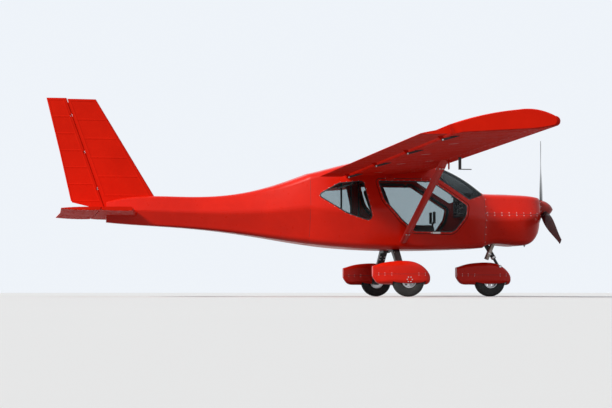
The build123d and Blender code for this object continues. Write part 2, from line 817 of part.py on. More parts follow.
spat_half_width = 85
leg_width = 84
leg_station = 2085
foot_depth = 16
plate_face = half_track - spat_half_width - seat_gap
leg_outline = [
    (140, 600), (318, 600), (plate_face - foot_depth, 215), (plate_face - foot_depth, 234),
    (plate_face, 234), (plate_face, 148), (plate_face - foot_depth, 148),
    (plate_face - foot_depth, 178), (292, 536), (140, 536),
]
for name, side in sides.items():
    leg_back = (at(leg_station) - leg_width / 2, 0, 0)
    leg_plane = Plane(origin=leg_back, x_dir=(0, side, 0), z_dir=(side, 0, 0))
    axle_point = (at(main_station), side * plate_face, tyre_radius)
    with BuildPart() as leg:
        with BuildSketch(leg_plane):
            with BuildLine():
                Polyline(*leg_outline, close=True)
            make_face()
        extrude(amount=leg_width * side)
        with BuildSketch(Plane(origin=axle_point, x_dir=(1, 0, 0), z_dir=(0, side, 0))):
            Circle(axle_radius)
        extrude(amount=2 * spat_half_width - spat_wall)
        add(cabin_outer, mode=Mode.SUBTRACT)
    deliver(leg.part.solids().sort_by(SortBy.VOLUME)[-1], f"main_leg_{name}")

    with BuildPart() as spat:
        add(spat_solid(main_station, side * half_track, spat_half_width))
        add(leg.part, mode=Mode.SUBTRACT)
    deliver(spat.part, f"main_spat_{name}")

# Nose leg housing, steered fork with its axle, and nose spat
yoke_point = (at(705), 370)
nose_axle_point = (at(nose_wheel_station), tyre_radius)
steer_top = Vector(at(840), 0, 598)
steer_foot = Vector(yoke_point[0], 0, yoke_point[1])
steer_up = (steer_top - steer_foot).normalized()
tube_radius = 17
tube_length = 200
housing_radius = 29
housing_start, housing_length, housing_bore_depth = 110, 240, 100
nose_half_width = 94
fork_inner = half_tyre + 8
fork_plate = 10
fork_outer = fork_inner + fork_plate
fork_axle_boss, fork_yoke_boss, yoke_radius = 20, 19, 13
with BuildPart() as nose_fork:
    for face in (-fork_outer, fork_inner):
        with BuildSketch(Plane.XZ.offset(face)):
            with Locations(nose_axle_point):
                Circle(fork_axle_boss)
            with Locations(yoke_point):
                Circle(fork_yoke_boss)
            make_hull()
        extrude(amount=fork_plate)
    for point, radius in ((yoke_point, yoke_radius), (nose_axle_point, axle_radius)):
        with BuildSketch(Plane.XZ):
            with Locations(point):
                Circle(radius)
        extrude(amount=fork_outer, both=True)
    with BuildSketch(Plane(origin=steer_foot, x_dir=(0, 1, 0), z_dir=steer_up)):
        Circle(tube_radius)
    extrude(amount=tube_length)
deliver(nose_fork.part, "nose_fork")

with BuildPart() as nose_leg:
    housing_foot = steer_foot + steer_up * housing_start
    with BuildSketch(Plane(origin=housing_foot, x_dir=(0, 1, 0), z_dir=steer_up)) as housing_sketch:
        Circle(housing_radius)
    extrude(amount=housing_length)
    with BuildSketch(housing_sketch.workplanes[0]):
        Circle(tube_radius + pin_clearance)
    extrude(amount=housing_bore_depth, mode=Mode.SUBTRACT)
    add(cowl_outer, mode=Mode.SUBTRACT)
deliver(nose_leg.part, "nose_leg")

with BuildPart() as nose_spat:
    add(spat_solid(nose_wheel_station, 0, nose_half_width))
    add(nose_fork.part, mode=Mode.SUBTRACT)
deliver(nose_spat.part.solids().sort_by(SortBy.VOLUME)[-1], "nose_spat")

# Seats, each a cushion and a back, on a tube frame
cushion_ends = (1620, 2050)
cushion_heights = (762, 862)
cushion_corner = 40
seat_inner = 40
seat_outer = 480
back_rows = [(cushion_ends[1] + seat_gap, 800), (2120, 790), (2330, 1330), (2262, 1350)]
for name, side in sides.items():
    low, high = sorted((side * seat_inner, side * seat_outer))
    with BuildPart() as cushion:
        add(station_box(*cushion_ends, *cushion_heights, low, high))
        fillet(cushion.edges().filter_by(Axis.Z), cushion_corner)
    deliver(cushion.part, f"seat_cushion_{name}")

    with BuildPart() as back:
        with BuildSketch(Plane.XZ.offset(-low)):
            with BuildLine():
                Polyline(*outline(back_rows), close=True)
            make_face()
        extrude(amount=low - high)
    deliver(back.part, f"seat_back_{name}")

floor_low = 560
seat_tube_radius = 13
seat_tube_height = cushion_heights[0] - seat_gap - seat_tube_radius
seat_tube_stations = (1680, 2000)
seat_tube_half_width = 470
seat_leg_places = (-290, 0, 290)
with BuildPart() as seat_frame:
    for aft in seat_tube_stations:
        with BuildSketch(Plane(origin=(at(aft), 0, seat_tube_height), x_dir=(1, 0, 0), z_dir=(0, 1, 0))):
            Circle(seat_tube_radius)
        extrude(amount=seat_tube_half_width, both=True)
        with BuildSketch(Plane.XY.offset(floor_low)):
            with Locations([(at(aft), across) for across in seat_leg_places]):
                Circle(seat_tube_radius)
        extrude(amount=seat_tube_height - floor_low)
    add(cabin_inner, mode=Mode.INTERSECT)
deliver(seat_frame.part, "seat_frame")

# Instrument panel with its shelf, stick, pedals and cabin tubes
panel_station, panel_thickness = 1140, 24
panel_low, panel_high, panel_half_width = 985, 1240, 420
shelf_thickness, shelf_overhang = 10, 50
panel_width = (-panel_half_width, panel_half_width)
shelf_ends = (firewall_back, panel_station + shelf_overhang)
with BuildPart() as instrument_panel:
    add(station_box(panel_station, panel_station + panel_thickness, panel_low, panel_high, *panel_width))
    add(station_box(*shelf_ends, panel_high, panel_high + shelf_thickness, *panel_width))
    add(cabin_inner, mode=Mode.INTERSECT)
deliver(instrument_panel.part, "instrument_panel")


def tube(start, end, radius):
    """A round bar between two (station, Y, height) places."""
    start, end = (Vector(at(aft), across, height) for aft, across, height in (start, end))
    with BuildPart() as rod:
        with BuildSketch(Plane(origin=start, z_dir=end - start)):
            Circle(radius)
        extrude(amount=(end - start).length)
    return rod.part


stick_station = 1540
fork_height, fork_reach = 900, 90
grip_low, grip_high = 895, 1030
with BuildPart() as control_stick:
    add(tube((stick_station, 0, floor_low), (stick_station, 0, fork_height), 12))
    add(tube((stick_station, -fork_reach, fork_height), (stick_station, fork_reach, fork_height), 11))
    for across in (-fork_reach, fork_reach):
        add(tube((stick_station, across, grip_low), (stick_station, across, grip_high), 14))
    add(cabin_inner, mode=Mode.INTERSECT)
deliver(control_stick.part, "control_stick")

pedal_station, pedal_places = 1090, (-300, -140, 140, 300)
pedal_bar_height, pedal_bar_half_width = 700, 380
pedal_low, pedal_high, pedal_half_width = 760, 860, 40
pedal_faces = (pedal_station - 12, pedal_station - 2)
with BuildPart() as rudder_pedals:
    bar_ends = [(pedal_station, end * pedal_bar_half_width, pedal_bar_height) for end in (-1, 1)]
    add(tube(*bar_ends, 11))
    for across in pedal_places:
        add(tube((pedal_station, across, floor_low), (pedal_station, across, 800), 9))
        pad = (across - pedal_half_width, across + pedal_half_width)
        add(station_box(*pedal_faces, pedal_low, pedal_high, *pad))
    add(cabin_inner, mode=Mode.INTERSECT)
deliver(rudder_pedals.part, "rudder_pedals")

# Cabin tubes: from, to, radius, the same on both sides
tube_rows = [
    ((1170, 60, 1200), (1700, 240, 1620), 12),
    ((2620, 300, floor_low), (2620, 300, 1650), 12),
    ((2365, 470, floor_low), (2365, 470, 1650), 13),
    ((2620, 0, 1350), (2620, 600, 1350), 12),
]
with BuildPart() as cabin_tubes:
    for way in sides.values():
        for start, end, radius in tube_rows:
            add(tube((start[0], way * start[1], start[2]), (end[0], way * end[1], end[2]), radius))
    add(cabin_inner, mode=Mode.INTERSECT)
    add(instrument_panel.part, mode=Mode.SUBTRACT)
deliver(cabin_tubes.part, "cabin_tubes")

# Airspeed mast under the starboard wing
mast_station, mast_span, mast_low = 1800, 2230, 1390
mast_height, mast_chord, mast_thickness = 220, 34, 9
probe_length, probe_radius = 130, 5
probe_ends = [
    (mast_station + 2 * probe_radius, -mast_span, mast_low + probe_radius),
    (mast_station - probe_length, -mast_span, mast_low + probe_radius),
]
with BuildPart() as airspeed_mast:
    with BuildSketch(Plane.XY.offset(mast_low)):
        with Locations((at(mast_station), -mast_span)):
            SlotOverall(mast_chord, mast_thickness)
    extrude(amount=mast_height)
    add(tube(*probe_ends, probe_radius))
    add(wing.part, mode=Mode.SUBTRACT)
deliver(airspeed_mast.part.solids().sort_by(Axis.Z)[0], "airspeed_mast")
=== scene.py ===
import json
import math

import bmesh
import bpy
from mathutils import Matrix, Vector
from mathutils.bvhtree import BVHTree

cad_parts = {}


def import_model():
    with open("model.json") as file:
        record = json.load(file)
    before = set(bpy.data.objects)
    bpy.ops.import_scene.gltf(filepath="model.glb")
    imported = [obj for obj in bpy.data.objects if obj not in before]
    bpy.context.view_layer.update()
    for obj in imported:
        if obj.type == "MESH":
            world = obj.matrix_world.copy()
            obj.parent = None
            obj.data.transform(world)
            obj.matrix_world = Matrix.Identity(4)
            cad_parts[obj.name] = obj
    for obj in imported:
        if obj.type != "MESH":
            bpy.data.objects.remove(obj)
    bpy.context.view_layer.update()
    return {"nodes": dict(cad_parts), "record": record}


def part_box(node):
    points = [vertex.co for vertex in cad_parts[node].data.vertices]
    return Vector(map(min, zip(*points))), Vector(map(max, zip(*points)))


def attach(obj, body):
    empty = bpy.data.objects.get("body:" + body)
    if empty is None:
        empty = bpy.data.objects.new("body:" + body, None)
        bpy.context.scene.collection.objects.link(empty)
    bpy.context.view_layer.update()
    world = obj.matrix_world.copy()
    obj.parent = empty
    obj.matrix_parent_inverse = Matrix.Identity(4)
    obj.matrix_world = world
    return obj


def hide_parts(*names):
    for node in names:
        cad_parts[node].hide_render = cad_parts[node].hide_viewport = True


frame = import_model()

# The aircraft stands on the floor with +X forward, +Y to port and +Z up, in metres.
# A station is a distance aft of the spinner's tip.
OVERALL_LENGTH = 6.23
THRUST_HEIGHT = 1.08
SIDES = {"left": 1, "right": -1}
NODES = frame["nodes"]
FORWARD, PORT, UP = Vector((1, 0, 0)), Vector((0, 1, 0)), Vector((0, 0, 1))


def at(aft):
    """X of a station."""
    return OVERALL_LENGTH / 2 - aft


# Materials


class Finish:
    """A node material with one Principled shader and a few helpers to feed it."""

    def __init__(self, name, colour, roughness, metallic=0.0, coat=0.0):
        self.material = bpy.data.materials.new(name)
        self.material.use_nodes = True
        self.tree = self.material.node_tree
        self.tree.nodes.clear()
        self.output = self.node("ShaderNodeOutputMaterial")
        self.shader = self.node("ShaderNodeBsdfPrincipled", Roughness=roughness, Metallic=metallic)
        self.link(self.shader.outputs[0], self.output.inputs["Surface"])
        self.set("Base Color", (*colour, 1))
        self.set("Coat Weight", coat)
        self.height = None

    def set(self, socket, value):
        self.shader.inputs[socket].default_value = value

    def node(self, kind, **values):
        made = self.tree.nodes.new(kind)
        for key, value in values.items():
            if hasattr(made, key):
                setattr(made, key, value)
            else:
                made.inputs[key].default_value = value
        return made

    def link(self, source, target):
        self.tree.links.new(source, target)

    def texture(self, kind, stretch=(1, 1, 1), **values):
        """The factor of a texture in the object's own coordinates."""
        made = self.node(kind, **values)
        mapping = self.node("ShaderNodeMapping", Scale=stretch)
        self.link(self.node("ShaderNodeTexCoord").outputs["Object"], mapping.inputs["Vector"])
        self.link(mapping.outputs["Vector"], made.inputs["Vector"])
        return made.outputs["Fac"]

    def noise(self, scale, detail):
        return self.texture("ShaderNodeTexNoise", Scale=scale, Detail=detail)

    def wave(self, scale, direction, stretch=(1, 1, 1)):
        return self.texture("ShaderNodeTexWave", stretch, bands_direction=direction, Scale=scale)

    def ramp(self, factor, low, high, start=0.0, end=1.0):
        """Turns a factor between start and end into a value between low and high."""
        limits = {"From Min": start, "From Max": end, "To Min": low, "To Max": high}
        made = self.node("ShaderNodeMapRange", **limits)
        self.link(factor, made.inputs["Value"])
        return made.outputs["Result"]

    def tint(self, factor, other):
        """Mixes the base colour towards another by a factor."""
        mix = self.node("ShaderNodeMix", data_type="RGBA")
        source = self.shader.inputs["Base Color"]
        self.link(factor, mix.inputs["Factor"])
        if source.is_linked:
            self.link(source.links[0].from_socket, mix.inputs["A"])
        else:
            mix.inputs["A"].default_value = source.default_value
        mix.inputs["B"].default_value = (*other, 1)
        self.link(mix.outputs["Result"], source)

    def bump(self, factor, distance, strength):
        made = self.node("ShaderNodeBump", Strength=strength, Distance=distance)
        self.link(factor, made.inputs["Height"])
        if self.height:
            self.link(self.height, made.inputs["Normal"])
        self.height = made.outputs["Normal"]
        self.link(self.height, self.shader.inputs["Normal"])

    def stain(self, other, scale, detail, most, start=0.5, end=0.8):
        """Patches of another colour."""
        self.tint(self.ramp(self.noise(scale, detail), 0.0, most, start, end), other)

    def wear(self, scale, detail, low, high):
        """Patches of another roughness."""
        self.link(self.ramp(self.noise(scale, detail), low, high, 0.3, 0.7), self.shader.inputs["Roughness"])

    def grain(self, scale, detail, distance, strength):
        self.bump(self.noise(scale, detail), distance, strength)


def mix_shaders(tree, factor, first, second, output):
    """Blends two shaders by a factor into an output."""
    mix = tree.nodes.new("ShaderNodeMixShader")
    for source, target in zip((factor, first.outputs[0], second.outputs[0]), mix.inputs):
        tree.links.new(source, target)
    tree.links.new(mix.outputs[0], output.inputs["Surface"])


def plain(name, colour, roughness, stain, grain, wear=None, **shading):
    """A finish of one kind all over, with stains, a fine grain and uneven gloss."""
    finish = Finish(name, colour, roughness, **shading)
    finish.stain(*stain)
    finish.grain(*grain)
    if wear:
        finish.wear(*wear)
    return finish.material


def painted(name, colour, dark, bright, coat=0.07, specular=0.2):
    """Gloss paint with faint mottling, orange peel and a clear coat."""
    finish = Finish(name, colour, 0.32, coat=coat)
    finish.set("Coat Roughness", 0.08)
    finish.set("Specular IOR Level", specular)
    finish.stain(dark, 2.3, 4, 0.55, 0.38, 0.72)
    finish.stain(bright, 11, 3, 0.22, 0.5, 0.75)
    finish.wear(30, 2, 0.27, 0.38)
    finish.grain(420, 2, 0.0006, 0.25)
    return finish


RED, RED_DARK, RED_BRIGHT = (0.76, 0.014, 0.003), (0.62, 0.01, 0.002), (0.88, 0.022, 0.005)


def fabric_red():
    """Doped fabric over ribs: the paint with a fine weave and a duller coat."""
    finish = painted("red_doped_fabric", RED, RED_DARK, RED_BRIGHT, coat=0.0, specular=0.06)
    finish.wear(24, 2, 0.5, 0.64)
    for direction in "XY":
        finish.bump(finish.wave(300, direction), 0.0004, 0.1)
    return finish.material


def red_skin():
    finish = painted("red_gloss_skin", RED, RED_DARK, RED_BRIGHT)
    finish.grain(6, 2, 0.004, 0.12)
    return finish.material


def seat_cloth():
    finish = Finish("seat_cloth", (0.055, 0.056, 0.062), 0.86)
    finish.set("Sheen Weight", 0.35)
    finish.set("Sheen Roughness", 0.5)
    finish.stain((0.09, 0.09, 0.1), 14, 4, 0.5, 0.45)
    # The weave runs across the seats, and the other way both along the cushion and up the back
    finish.bump(finish.wave(130, "Y"), 0.0012, 0.3)
    finish.bump(finish.wave(260, "DIAGONAL", (1, 0, 1)), 0.0012, 0.3)
    return finish.material


def clear_glass():
    """Blown clear plastic: mostly see-through, mirrored at a glance, faintly grey."""
    finish = Finish("clear_plastic", (0.1, 0.11, 0.12), 0.04)
    finish.set("Specular IOR Level", 0.8)
    finish.grain(3.5, 2, 0.003, 0.08)
    clear = finish.node("ShaderNodeBsdfTransparent", Color=(0.8, 0.84, 0.85, 1))
    haze = finish.ramp(finish.node("ShaderNodeFresnel", IOR=1.5).outputs[0], 0.05, 0.9)
    mix_shaders(finish.tree, haze, clear, finish.shader, finish.output)
    return finish.material


def lamp_lens(name, colour):
    """Coloured clear plastic over a lamp."""
    finish = Finish(name, colour, 0.12, coat=0.6)
    finish.set("Transmission Weight", 0.35)
    finish.tint(finish.wave(60, "Z"), tuple(part * 0.7 for part in colour))
    finish.bump(finish.wave(90, "Y"), 0.0008, 0.3)
    return finish.material


def webbing():
    finish = Finish("belt_webbing", (0.035, 0.036, 0.04), 0.8)
    finish.tint(finish.wave(36, "Y"), (0.07, 0.072, 0.078))
    finish.bump(finish.wave(160, "X"), 0.0006, 0.5)
    finish.bump(finish.wave(120, "Y"), 0.0005, 0.4)
    return finish.material


def piping_vinyl():
    finish = Finish("piping_vinyl", (0.16, 0.02, 0.015), 0.45, coat=0.15)
    finish.stain((0.1, 0.015, 0.012), 60, 3, 0.5)
    finish.bump(finish.wave(900, "Y"), 0.0004, 0.3)
    return finish.material


MATERIALS = {
    "red_cloth": fabric_red(),
    "red_paint": red_skin(),
    "clear_glass": clear_glass(),
    "seat_cloth": seat_cloth(),
    "spinner_red": painted(
        "spinner_paint", (0.42, 0.022, 0.012), (0.3, 0.014, 0.01), (0.55, 0.03, 0.016)).material,
    "black_metal": plain(
        "black_powder_coat", (0.022, 0.022, 0.024), 0.42,
        ((0.06, 0.058, 0.055), 40, 4, 0.5, 0.55), (900, 2, 0.0004, 0.3), (60, 2, 0.34, 0.52)),
    "tyre_rubber": plain(
        "tyre_rubber", (0.018, 0.018, 0.018), 0.78,
        ((0.05, 0.047, 0.042), 22, 5, 0.6), (700, 3, 0.0008, 0.35), (50, 3, 0.7, 0.88)),
    "rim_alloy": plain(
        "cast_alloy", (0.6, 0.6, 0.61), 0.36,
        ((0.4, 0.39, 0.38), 35, 4, 0.5), (520, 2, 0.0005, 0.3), (80, 2, 0.3, 0.46), metallic=1.0),
    "blade_black": plain(
        "black_composite_blade", (0.02, 0.02, 0.022), 0.24,
        ((0.05, 0.05, 0.052), 25, 4, 0.5), (300, 2, 0.0004, 0.15), coat=0.5),
    "panel_black": plain(
        "panel_plastic", (0.035, 0.035, 0.038), 0.62,
        ((0.06, 0.06, 0.062), 30, 3, 0.4), (1100, 2, 0.0006, 0.4)),
    "engine_alloy": plain(
        "engine_casting", (0.42, 0.42, 0.43), 0.5,
        ((0.16, 0.15, 0.14), 28, 4, 0.7), (600, 2, 0.0008, 0.4), metallic=0.9),
    "pipe_steel": plain(
        "heat_stained_steel", (0.3, 0.26, 0.23), 0.42,
        ((0.1, 0.075, 0.06), 20, 4, 0.8, 0.42, 0.75), (500, 2, 0.0005, 0.3), metallic=1.0),
}
MATERIALS["red_tube"] = MATERIALS["red_paint"]
# The finishes of small parts, each after the slot that it belongs to
RUBBER = ("panel_black", plain(
    "gasket_rubber", (0.014, 0.014, 0.015), 0.55,
    ((0.04, 0.038, 0.036), 90, 3, 0.5), (1200, 2, 0.0004, 0.3), (120, 2, 0.48, 0.66)))
STEEL = ("black_metal", plain(
    "plated_steel", (0.62, 0.62, 0.63), 0.3,
    ((0.46, 0.44, 0.42), 45, 3, 0.4, 0.4, 0.9), (700, 2, 0.0002, 0.15), (90, 2, 0.26, 0.36), metallic=1.0))
DIAL_FACE = ("panel_black", plain(
    "dial_face", (0.012, 0.012, 0.013), 0.35,
    ((0.03, 0.03, 0.032), 160, 2, 0.3), (700, 2, 0.0002, 0.2), coat=0.4))
DIAL_PAINT = ("panel_black", plain(
    "dial_paint", (0.8, 0.8, 0.76), 0.6, ((0.62, 0.62, 0.58), 200, 2, 0.3), (900, 2, 0.0002, 0.2)))
WEBBING = ("seat_cloth", webbing())
PIPING = ("seat_cloth", piping_vinyl())

for row in frame["record"]["subparts"]:
    solid = NODES[row["node"]].data
    solid.materials.clear()
    solid.materials.append(MATERIALS[row["material_slot"]])


# Making pieces


def add_object(name, data):
    made = bpy.data.objects.new(name, data)
    bpy.context.collection.objects.link(made)
    return made


def mesh_of(name, shape):
    mesh = bpy.data.meshes.new(name)
    shape.to_mesh(mesh)
    shape.free()
    return mesh


def tree_of(shape):
    tree = BVHTree.FromBMesh(shape)
    shape.free()
    return tree


BEGUN = []


def begin(name, slot, material=None, body="airframe", angle=40, stands_for=None):
    """A bmesh to shape, which new_piece turns into a piece at the end."""
    shape = bmesh.new()
    BEGUN.append((name, shape, slot, material, body, angle, stands_for))
    return shape


def new_piece(name, shape, slot, material, body, angle, stands_for):
    """Turns a bmesh into a piece that rides on a body, smooth but for its sharp edges."""
    bmesh.ops.recalc_face_normals(shape, faces=shape.faces)
    for face in shape.faces:
        face.smooth = True
    for edge in shape.edges:
        edge.smooth = len(edge.link_faces) == 2 and edge.calc_face_angle(0) < math.radians(angle)
    piece = add_object(name, mesh_of(name, shape))
    piece.data.materials.append(material or MATERIALS[slot])
    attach(piece, body)
    if stands_for:
        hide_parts(stands_for)


def spread(first, last, count):
    """Evenly spaced numbers, both ends included."""
    return [first + (last - first) * number / (count - 1) for number in range(count)]


def turns(count):
    """Angles evenly round a circle."""
    return [2 * math.pi * number / count for number in range(count)]


def arm(first, second, turn):
    """A direction turned from the first towards the second."""
    return first * math.cos(turn) + second * math.sin(turn)


def circle(radius, count=24, middle=(0, 0)):
    return [(middle[0] + radius * math.cos(t), middle[1] + radius * math.sin(t)) for t in turns(count)]


def rounded(half_width, half_height, radius, count=6):
    """A rounded rectangle's outline about the origin."""
    points = []
    for across, up, start in ((1, 1, 0), (-1, 1, 90), (-1, -1, 180), (1, -1, 270)):
        for turn in spread(start, start + 90, count):
            angle = math.radians(turn)
            x = across * (half_width - radius) + radius * math.cos(angle)
            points.append((x, up * (half_height - radius) + radius * math.sin(angle)))
    return points


def strip_section(width, height):
    """A flat strip with soft shoulders, its foot just under the surface it lies on."""
    half = width / 2
    slope = min(height, half / 2)
    return [(-half, -height), (-half, height * 0.3), (slope - half, height),
            (half - slope, height), (half, height * 0.3), (half, -height)]


def mirrored(half):
    """A profile and its mirror image."""
    return half + [(radius, -along) for radius, along in half[::-1] if along]


def join_rings(shape, rings, closed=False):
    """Quads between rings of vertices, and a face on each end where they don't close."""
    for first, second in zip(rings, rings[1:] + rings[:1] if closed else rings[1:]):
        for index in range(len(first)):
            follow = (index + 1) % len(first)
            shape.faces.new((first[index], first[follow], second[follow], second[index]))
    if not closed:
        shape.faces.new(rings[0][::-1])
        shape.faces.new(rings[-1])


def sweep(shape, path, section, closed=False):
    """Carries a section of (side, up) offsets along a path of (point, up) pairs."""
    count = len(path)
    rings = []
    for index, (point, up) in enumerate(path):
        ahead = path[(index + 1) % count][0] if closed or index + 1 < count else point
        behind = path[index - 1][0] if closed or index else point
        along = (ahead - behind).normalized()
        side = along.cross(up).normalized()
        top = side.cross(along)
        rings.append([shape.verts.new(point + side * s + top * u) for s, u in section])
    join_rings(shape, rings, closed)


def rod(shape, start, end, radius, sides=10):
    start, end = Vector(start), Vector(end)
    up = (end - start).orthogonal().normalized()
    sweep(shape, [(start, up), (end, up)], circle(radius, sides))


def lathe(shape, profile, origin, direction, segments=16, ring=False, scale=1):
    """Turns a profile of (radius, along) rows about a line, closed on itself for a ring."""
    origin, direction = Vector(origin), Vector(direction).normalized()
    side = direction.orthogonal().normalized()
    other = direction.cross(side)
    rings = []
    for radius, along in profile:
        foot = origin + direction * (along * scale)
        spokes = [arm(side, other, turn) * (radius * scale) for turn in turns(segments)]
        rings.append([shape.verts.new(foot + spoke) for spoke in spokes])
    join_rings(shape, rings, ring)


def screw(shape, point, normal, radius):
    """A domed screw head with a recess."""
    profile = [(1, -0.4), (1, 0.15), (0.75, 0.4), (0.35, 0.5), (0.25, 0.2)]
    lathe(shape, profile, point, normal, 10, scale=radius)


def bolt(shape, point, normal, radius):
    """A hexagonal head on a washer."""
    lathe(shape, [(1.45, -0.2), (1.45, 0.2), (1.3, 0.25)], point, normal, 16, scale=radius)
    lathe(shape, [(1.0, 0.2), (1.0, 0.95), (0.86, 1.1)], point, normal, 6, scale=radius)


def plate(shape, outer, holes, thickness, origin, right, up, through):
    """A flat plate with holes, from its outlines about an origin."""
    loops = [[shape.verts.new((a, b, 0)) for a, b in outline] for outline in [outer, *holes]]
    edges = []
    for verts in loops:
        edges += [shape.edges.new((a, b)) for a, b in zip(verts, verts[1:] + verts[:1])]
    made = bmesh.ops.triangle_fill(shape, edges=edges, use_beauty=True, use_dissolve=False)
    front = [item for item in made["geom"] if isinstance(item, bmesh.types.BMFace)]
    pushed = bmesh.ops.extrude_face_region(shape, geom=front)
    back = [item for item in pushed["geom"] if isinstance(item, bmesh.types.BMVert)]
    for vert in back:
        vert.co.z = thickness
    for vert in {vert for verts in loops for vert in verts} | set(back):
        a, b, depth = vert.co
        vert.co = Vector(origin) + right * a + up * b + through * depth


class Skin:
    """The surface of some CAD solids, to lay pieces on."""

    def __init__(self, *names):
        shape = bmesh.new()
        for name in names:
            shape.from_mesh(NODES[name].data)
        self.tree = tree_of(shape)

    def hit(self, start, way):
        """Where a ray meets the surface, as (point, normal towards the ray's start), or None."""
        way = Vector(way)
        point, normal, _, _ = self.tree.ray_cast(Vector(start), way)
        if point is None:
            return None
        return point, (-normal if normal.dot(way) > 0 else normal)

    def trace(self, starts, way):
        """A path over the surface below a row of starts, its normals evened out."""
        found = [spot for spot in (self.hit(start, way) for start in starts) if spot]
        path = []
        for index, (point, _) in enumerate(found):
            near = found[max(index - 2, 0):index + 3]
            path.append((point, sum((normal for _, normal in near), Vector()).normalized()))
        return path

    def around(self, middle, first, second, reach, count, start=0.0):
        """Where rays from all round a point meet the surface, as (point, normal, way out)."""
        found = []
        for turn in turns(count):
            way = arm(first, second, turn + start)
            spot = self.hit(middle + way * reach, -way)
            if spot:
                found.append((*spot, way))
        return found

    def fix(self, kind, shape, start, way, radius, lift=0.0):
        """A screw or a bolt where a ray meets the surface."""
        spot = self.hit(start, way)
        if spot:
            kind(shape, spot[0] + spot[1] * lift, spot[1], radius)


def patch(shape, skin, middle, right, up, way, outline, lift):
    """A thin plate that follows the skin, from an outline about a middle point."""
    rings = []
    for share, rise in ((0.05, 1), (0.35, 1), (0.7, 1), (0.97, 1), (1, 0.6), (1, -0.6)):
        spots = [skin.hit(Vector(middle) + right * (a * share) + up * (b * share), way) for a, b in outline]
        rings.append([shape.verts.new(point + normal * (lift * rise)) for point, normal in spots])
    join_rings(shape, rings)


# How squarely a face has to look outward to count, and how near two corners are one
FACING_SHARE, WELD_DISTANCE = 0.45, 1e-5


def border_loops(name, outward):
    """Border loops of the side of a solid that faces outward, each an ordered list of points."""
    shape = bmesh.new()
    shape.from_mesh(NODES[name].data)
    bmesh.ops.remove_doubles(shape, verts=shape.verts, dist=WELD_DISTANCE)
    facing = {face for face in shape.faces
              if face.normal.dot(outward(face.calc_center_median())) > FACING_SHARE}
    links = {}
    for edge in shape.edges:
        if sum(face in facing for face in edge.link_faces) == 1:
            for end, other in (edge.verts, reversed(edge.verts)):
                links.setdefault(end, []).append(other)
    loops = []
    while links:
        start = next(iter(links))
        loop = [start]
        follow = links.pop(start)[0]
        while follow in links:
            loop.append(follow)
            ahead = [vert for vert in links.pop(follow) if vert in links]
            if not ahead:
                break
            follow = ahead[0]
        loops.append([vert.co.copy() for vert in loop])
    shape.free()
    return sorted(loops, key=len, reverse=True)


def even_loop(points, step):
    """A closed loop of points resampled at even steps."""
    ends = points + points[:1]
    lengths = [(b - a).length for a, b in zip(ends, ends[1:])]
    count = max(8, round(sum(lengths) / step))
    pitch = sum(lengths) / count
    made, leg, gone = [], 0, 0.0
    for number in range(count):
        wanted = number * pitch
        while leg < len(lengths) - 1 and gone + lengths[leg] < wanted:
            gone += lengths[leg]
            leg += 1
        share = (wanted - gone) / max(lengths[leg], 1e-9)
        made.append(ends[leg].lerp(ends[leg + 1], min(share, 1)))
    return made


def facing_side(side):
    return lambda place: Vector((0, side, 0))


def facing_out(place):
    """Away from the middle of the cabin."""
    return Vector((place.x - at(2.1), place.y, place.z - 1.1)).normalized()


def loop_path(points, outward):
    """(point, up) pairs with the loop running so that its left-hand side points into it."""
    middle = sum(points, Vector()) / len(points)
    lean = 0.0
    for index, point in enumerate(points):
        along = points[(index + 1) % len(points)] - points[index - 1]
        lean += along.cross(outward(point)).dot(middle - point)
    return [(point, outward(point)) for point in (points[::-1] if lean < 0 else points)]


# Cloth-covered surfaces: rib tapes with their stitching

WING_SWEEP, WING_RISE = math.tan(math.radians(2.75)), math.tan(math.radians(1.7))
WING_ROOT, WING_FRONT, WING_HEIGHT = 0.5, 1.7, 1.54
LAST_RIB, TAPE_END = 4.62, 4.66
TAPE_WIDTH, TAPE_HEIGHT, STITCH_PITCH = 0.024, 0.0009, 0.055
# Where rays at the two faces of a level surface start, and the way they go
FACES = {"upper": (3.0, (0, 0, -1)), "lower": (0.5, (0, 0, 1))}


def on_wing(side, span, aft, height):
    """A place at a station of the root section, carried out along the swept wing."""
    return Vector((at(aft) + (span - WING_ROOT) * WING_SWEEP, side * span, height))


def wing_rise(span):
    """Height of the wing's own level at a span."""
    return WING_HEIGHT + (span - WING_ROOT) * WING_RISE


def tape(shape, path, width, stitched):
    """A tape along a path with a row of stitch knots."""
    if len(path) < 3:
        return
    sweep(shape, path, strip_section(width, TAPE_HEIGHT))
    gone = 0.0
    for (point, up), (follow, _) in zip(path, path[1:]):
        gone += (follow - point).length
        if stitched and gone > STITCH_PITCH:
            gone = 0.0
            along = (follow - point).normalized() * 0.007
            knot = [(point - along, up), (point, up), (point + along, up)]
            sweep(shape, knot, [(-0.0016, 0), (-0.001, 0.0018), (0.001, 0.0018), (0.0016, 0)])


def ribs(runs, front, back, count, steps, width):
    """Lines of (aft, run) places between two slanting edges, as (line, width, stitched)."""
    lines = []
    for run in spread(*runs, count):
        share = (run - runs[0]) / (runs[1] - runs[0])
        ends = [edge[0] + (edge[1] - edge[0]) * share for edge in (front, back)]
        lines.append(([(aft, run) for aft in spread(*ends, steps)], width, True))
    return lines


def tapes(name, node, body, views, lines):
    """Tapes along lines on a cloth surface. A view says where its rays start and which way they go."""
    skin = Skin(node)
    shape = begin(name, "red_cloth", body=body)
    for place, way in views:
        for line, width, stitched in lines:
            tape(shape, skin.trace([place(*spot) for spot in line], way), width, stitched)


def wing_view(side, height, way):
    return (lambda aft, span: on_wing(side, span, aft, height)), way


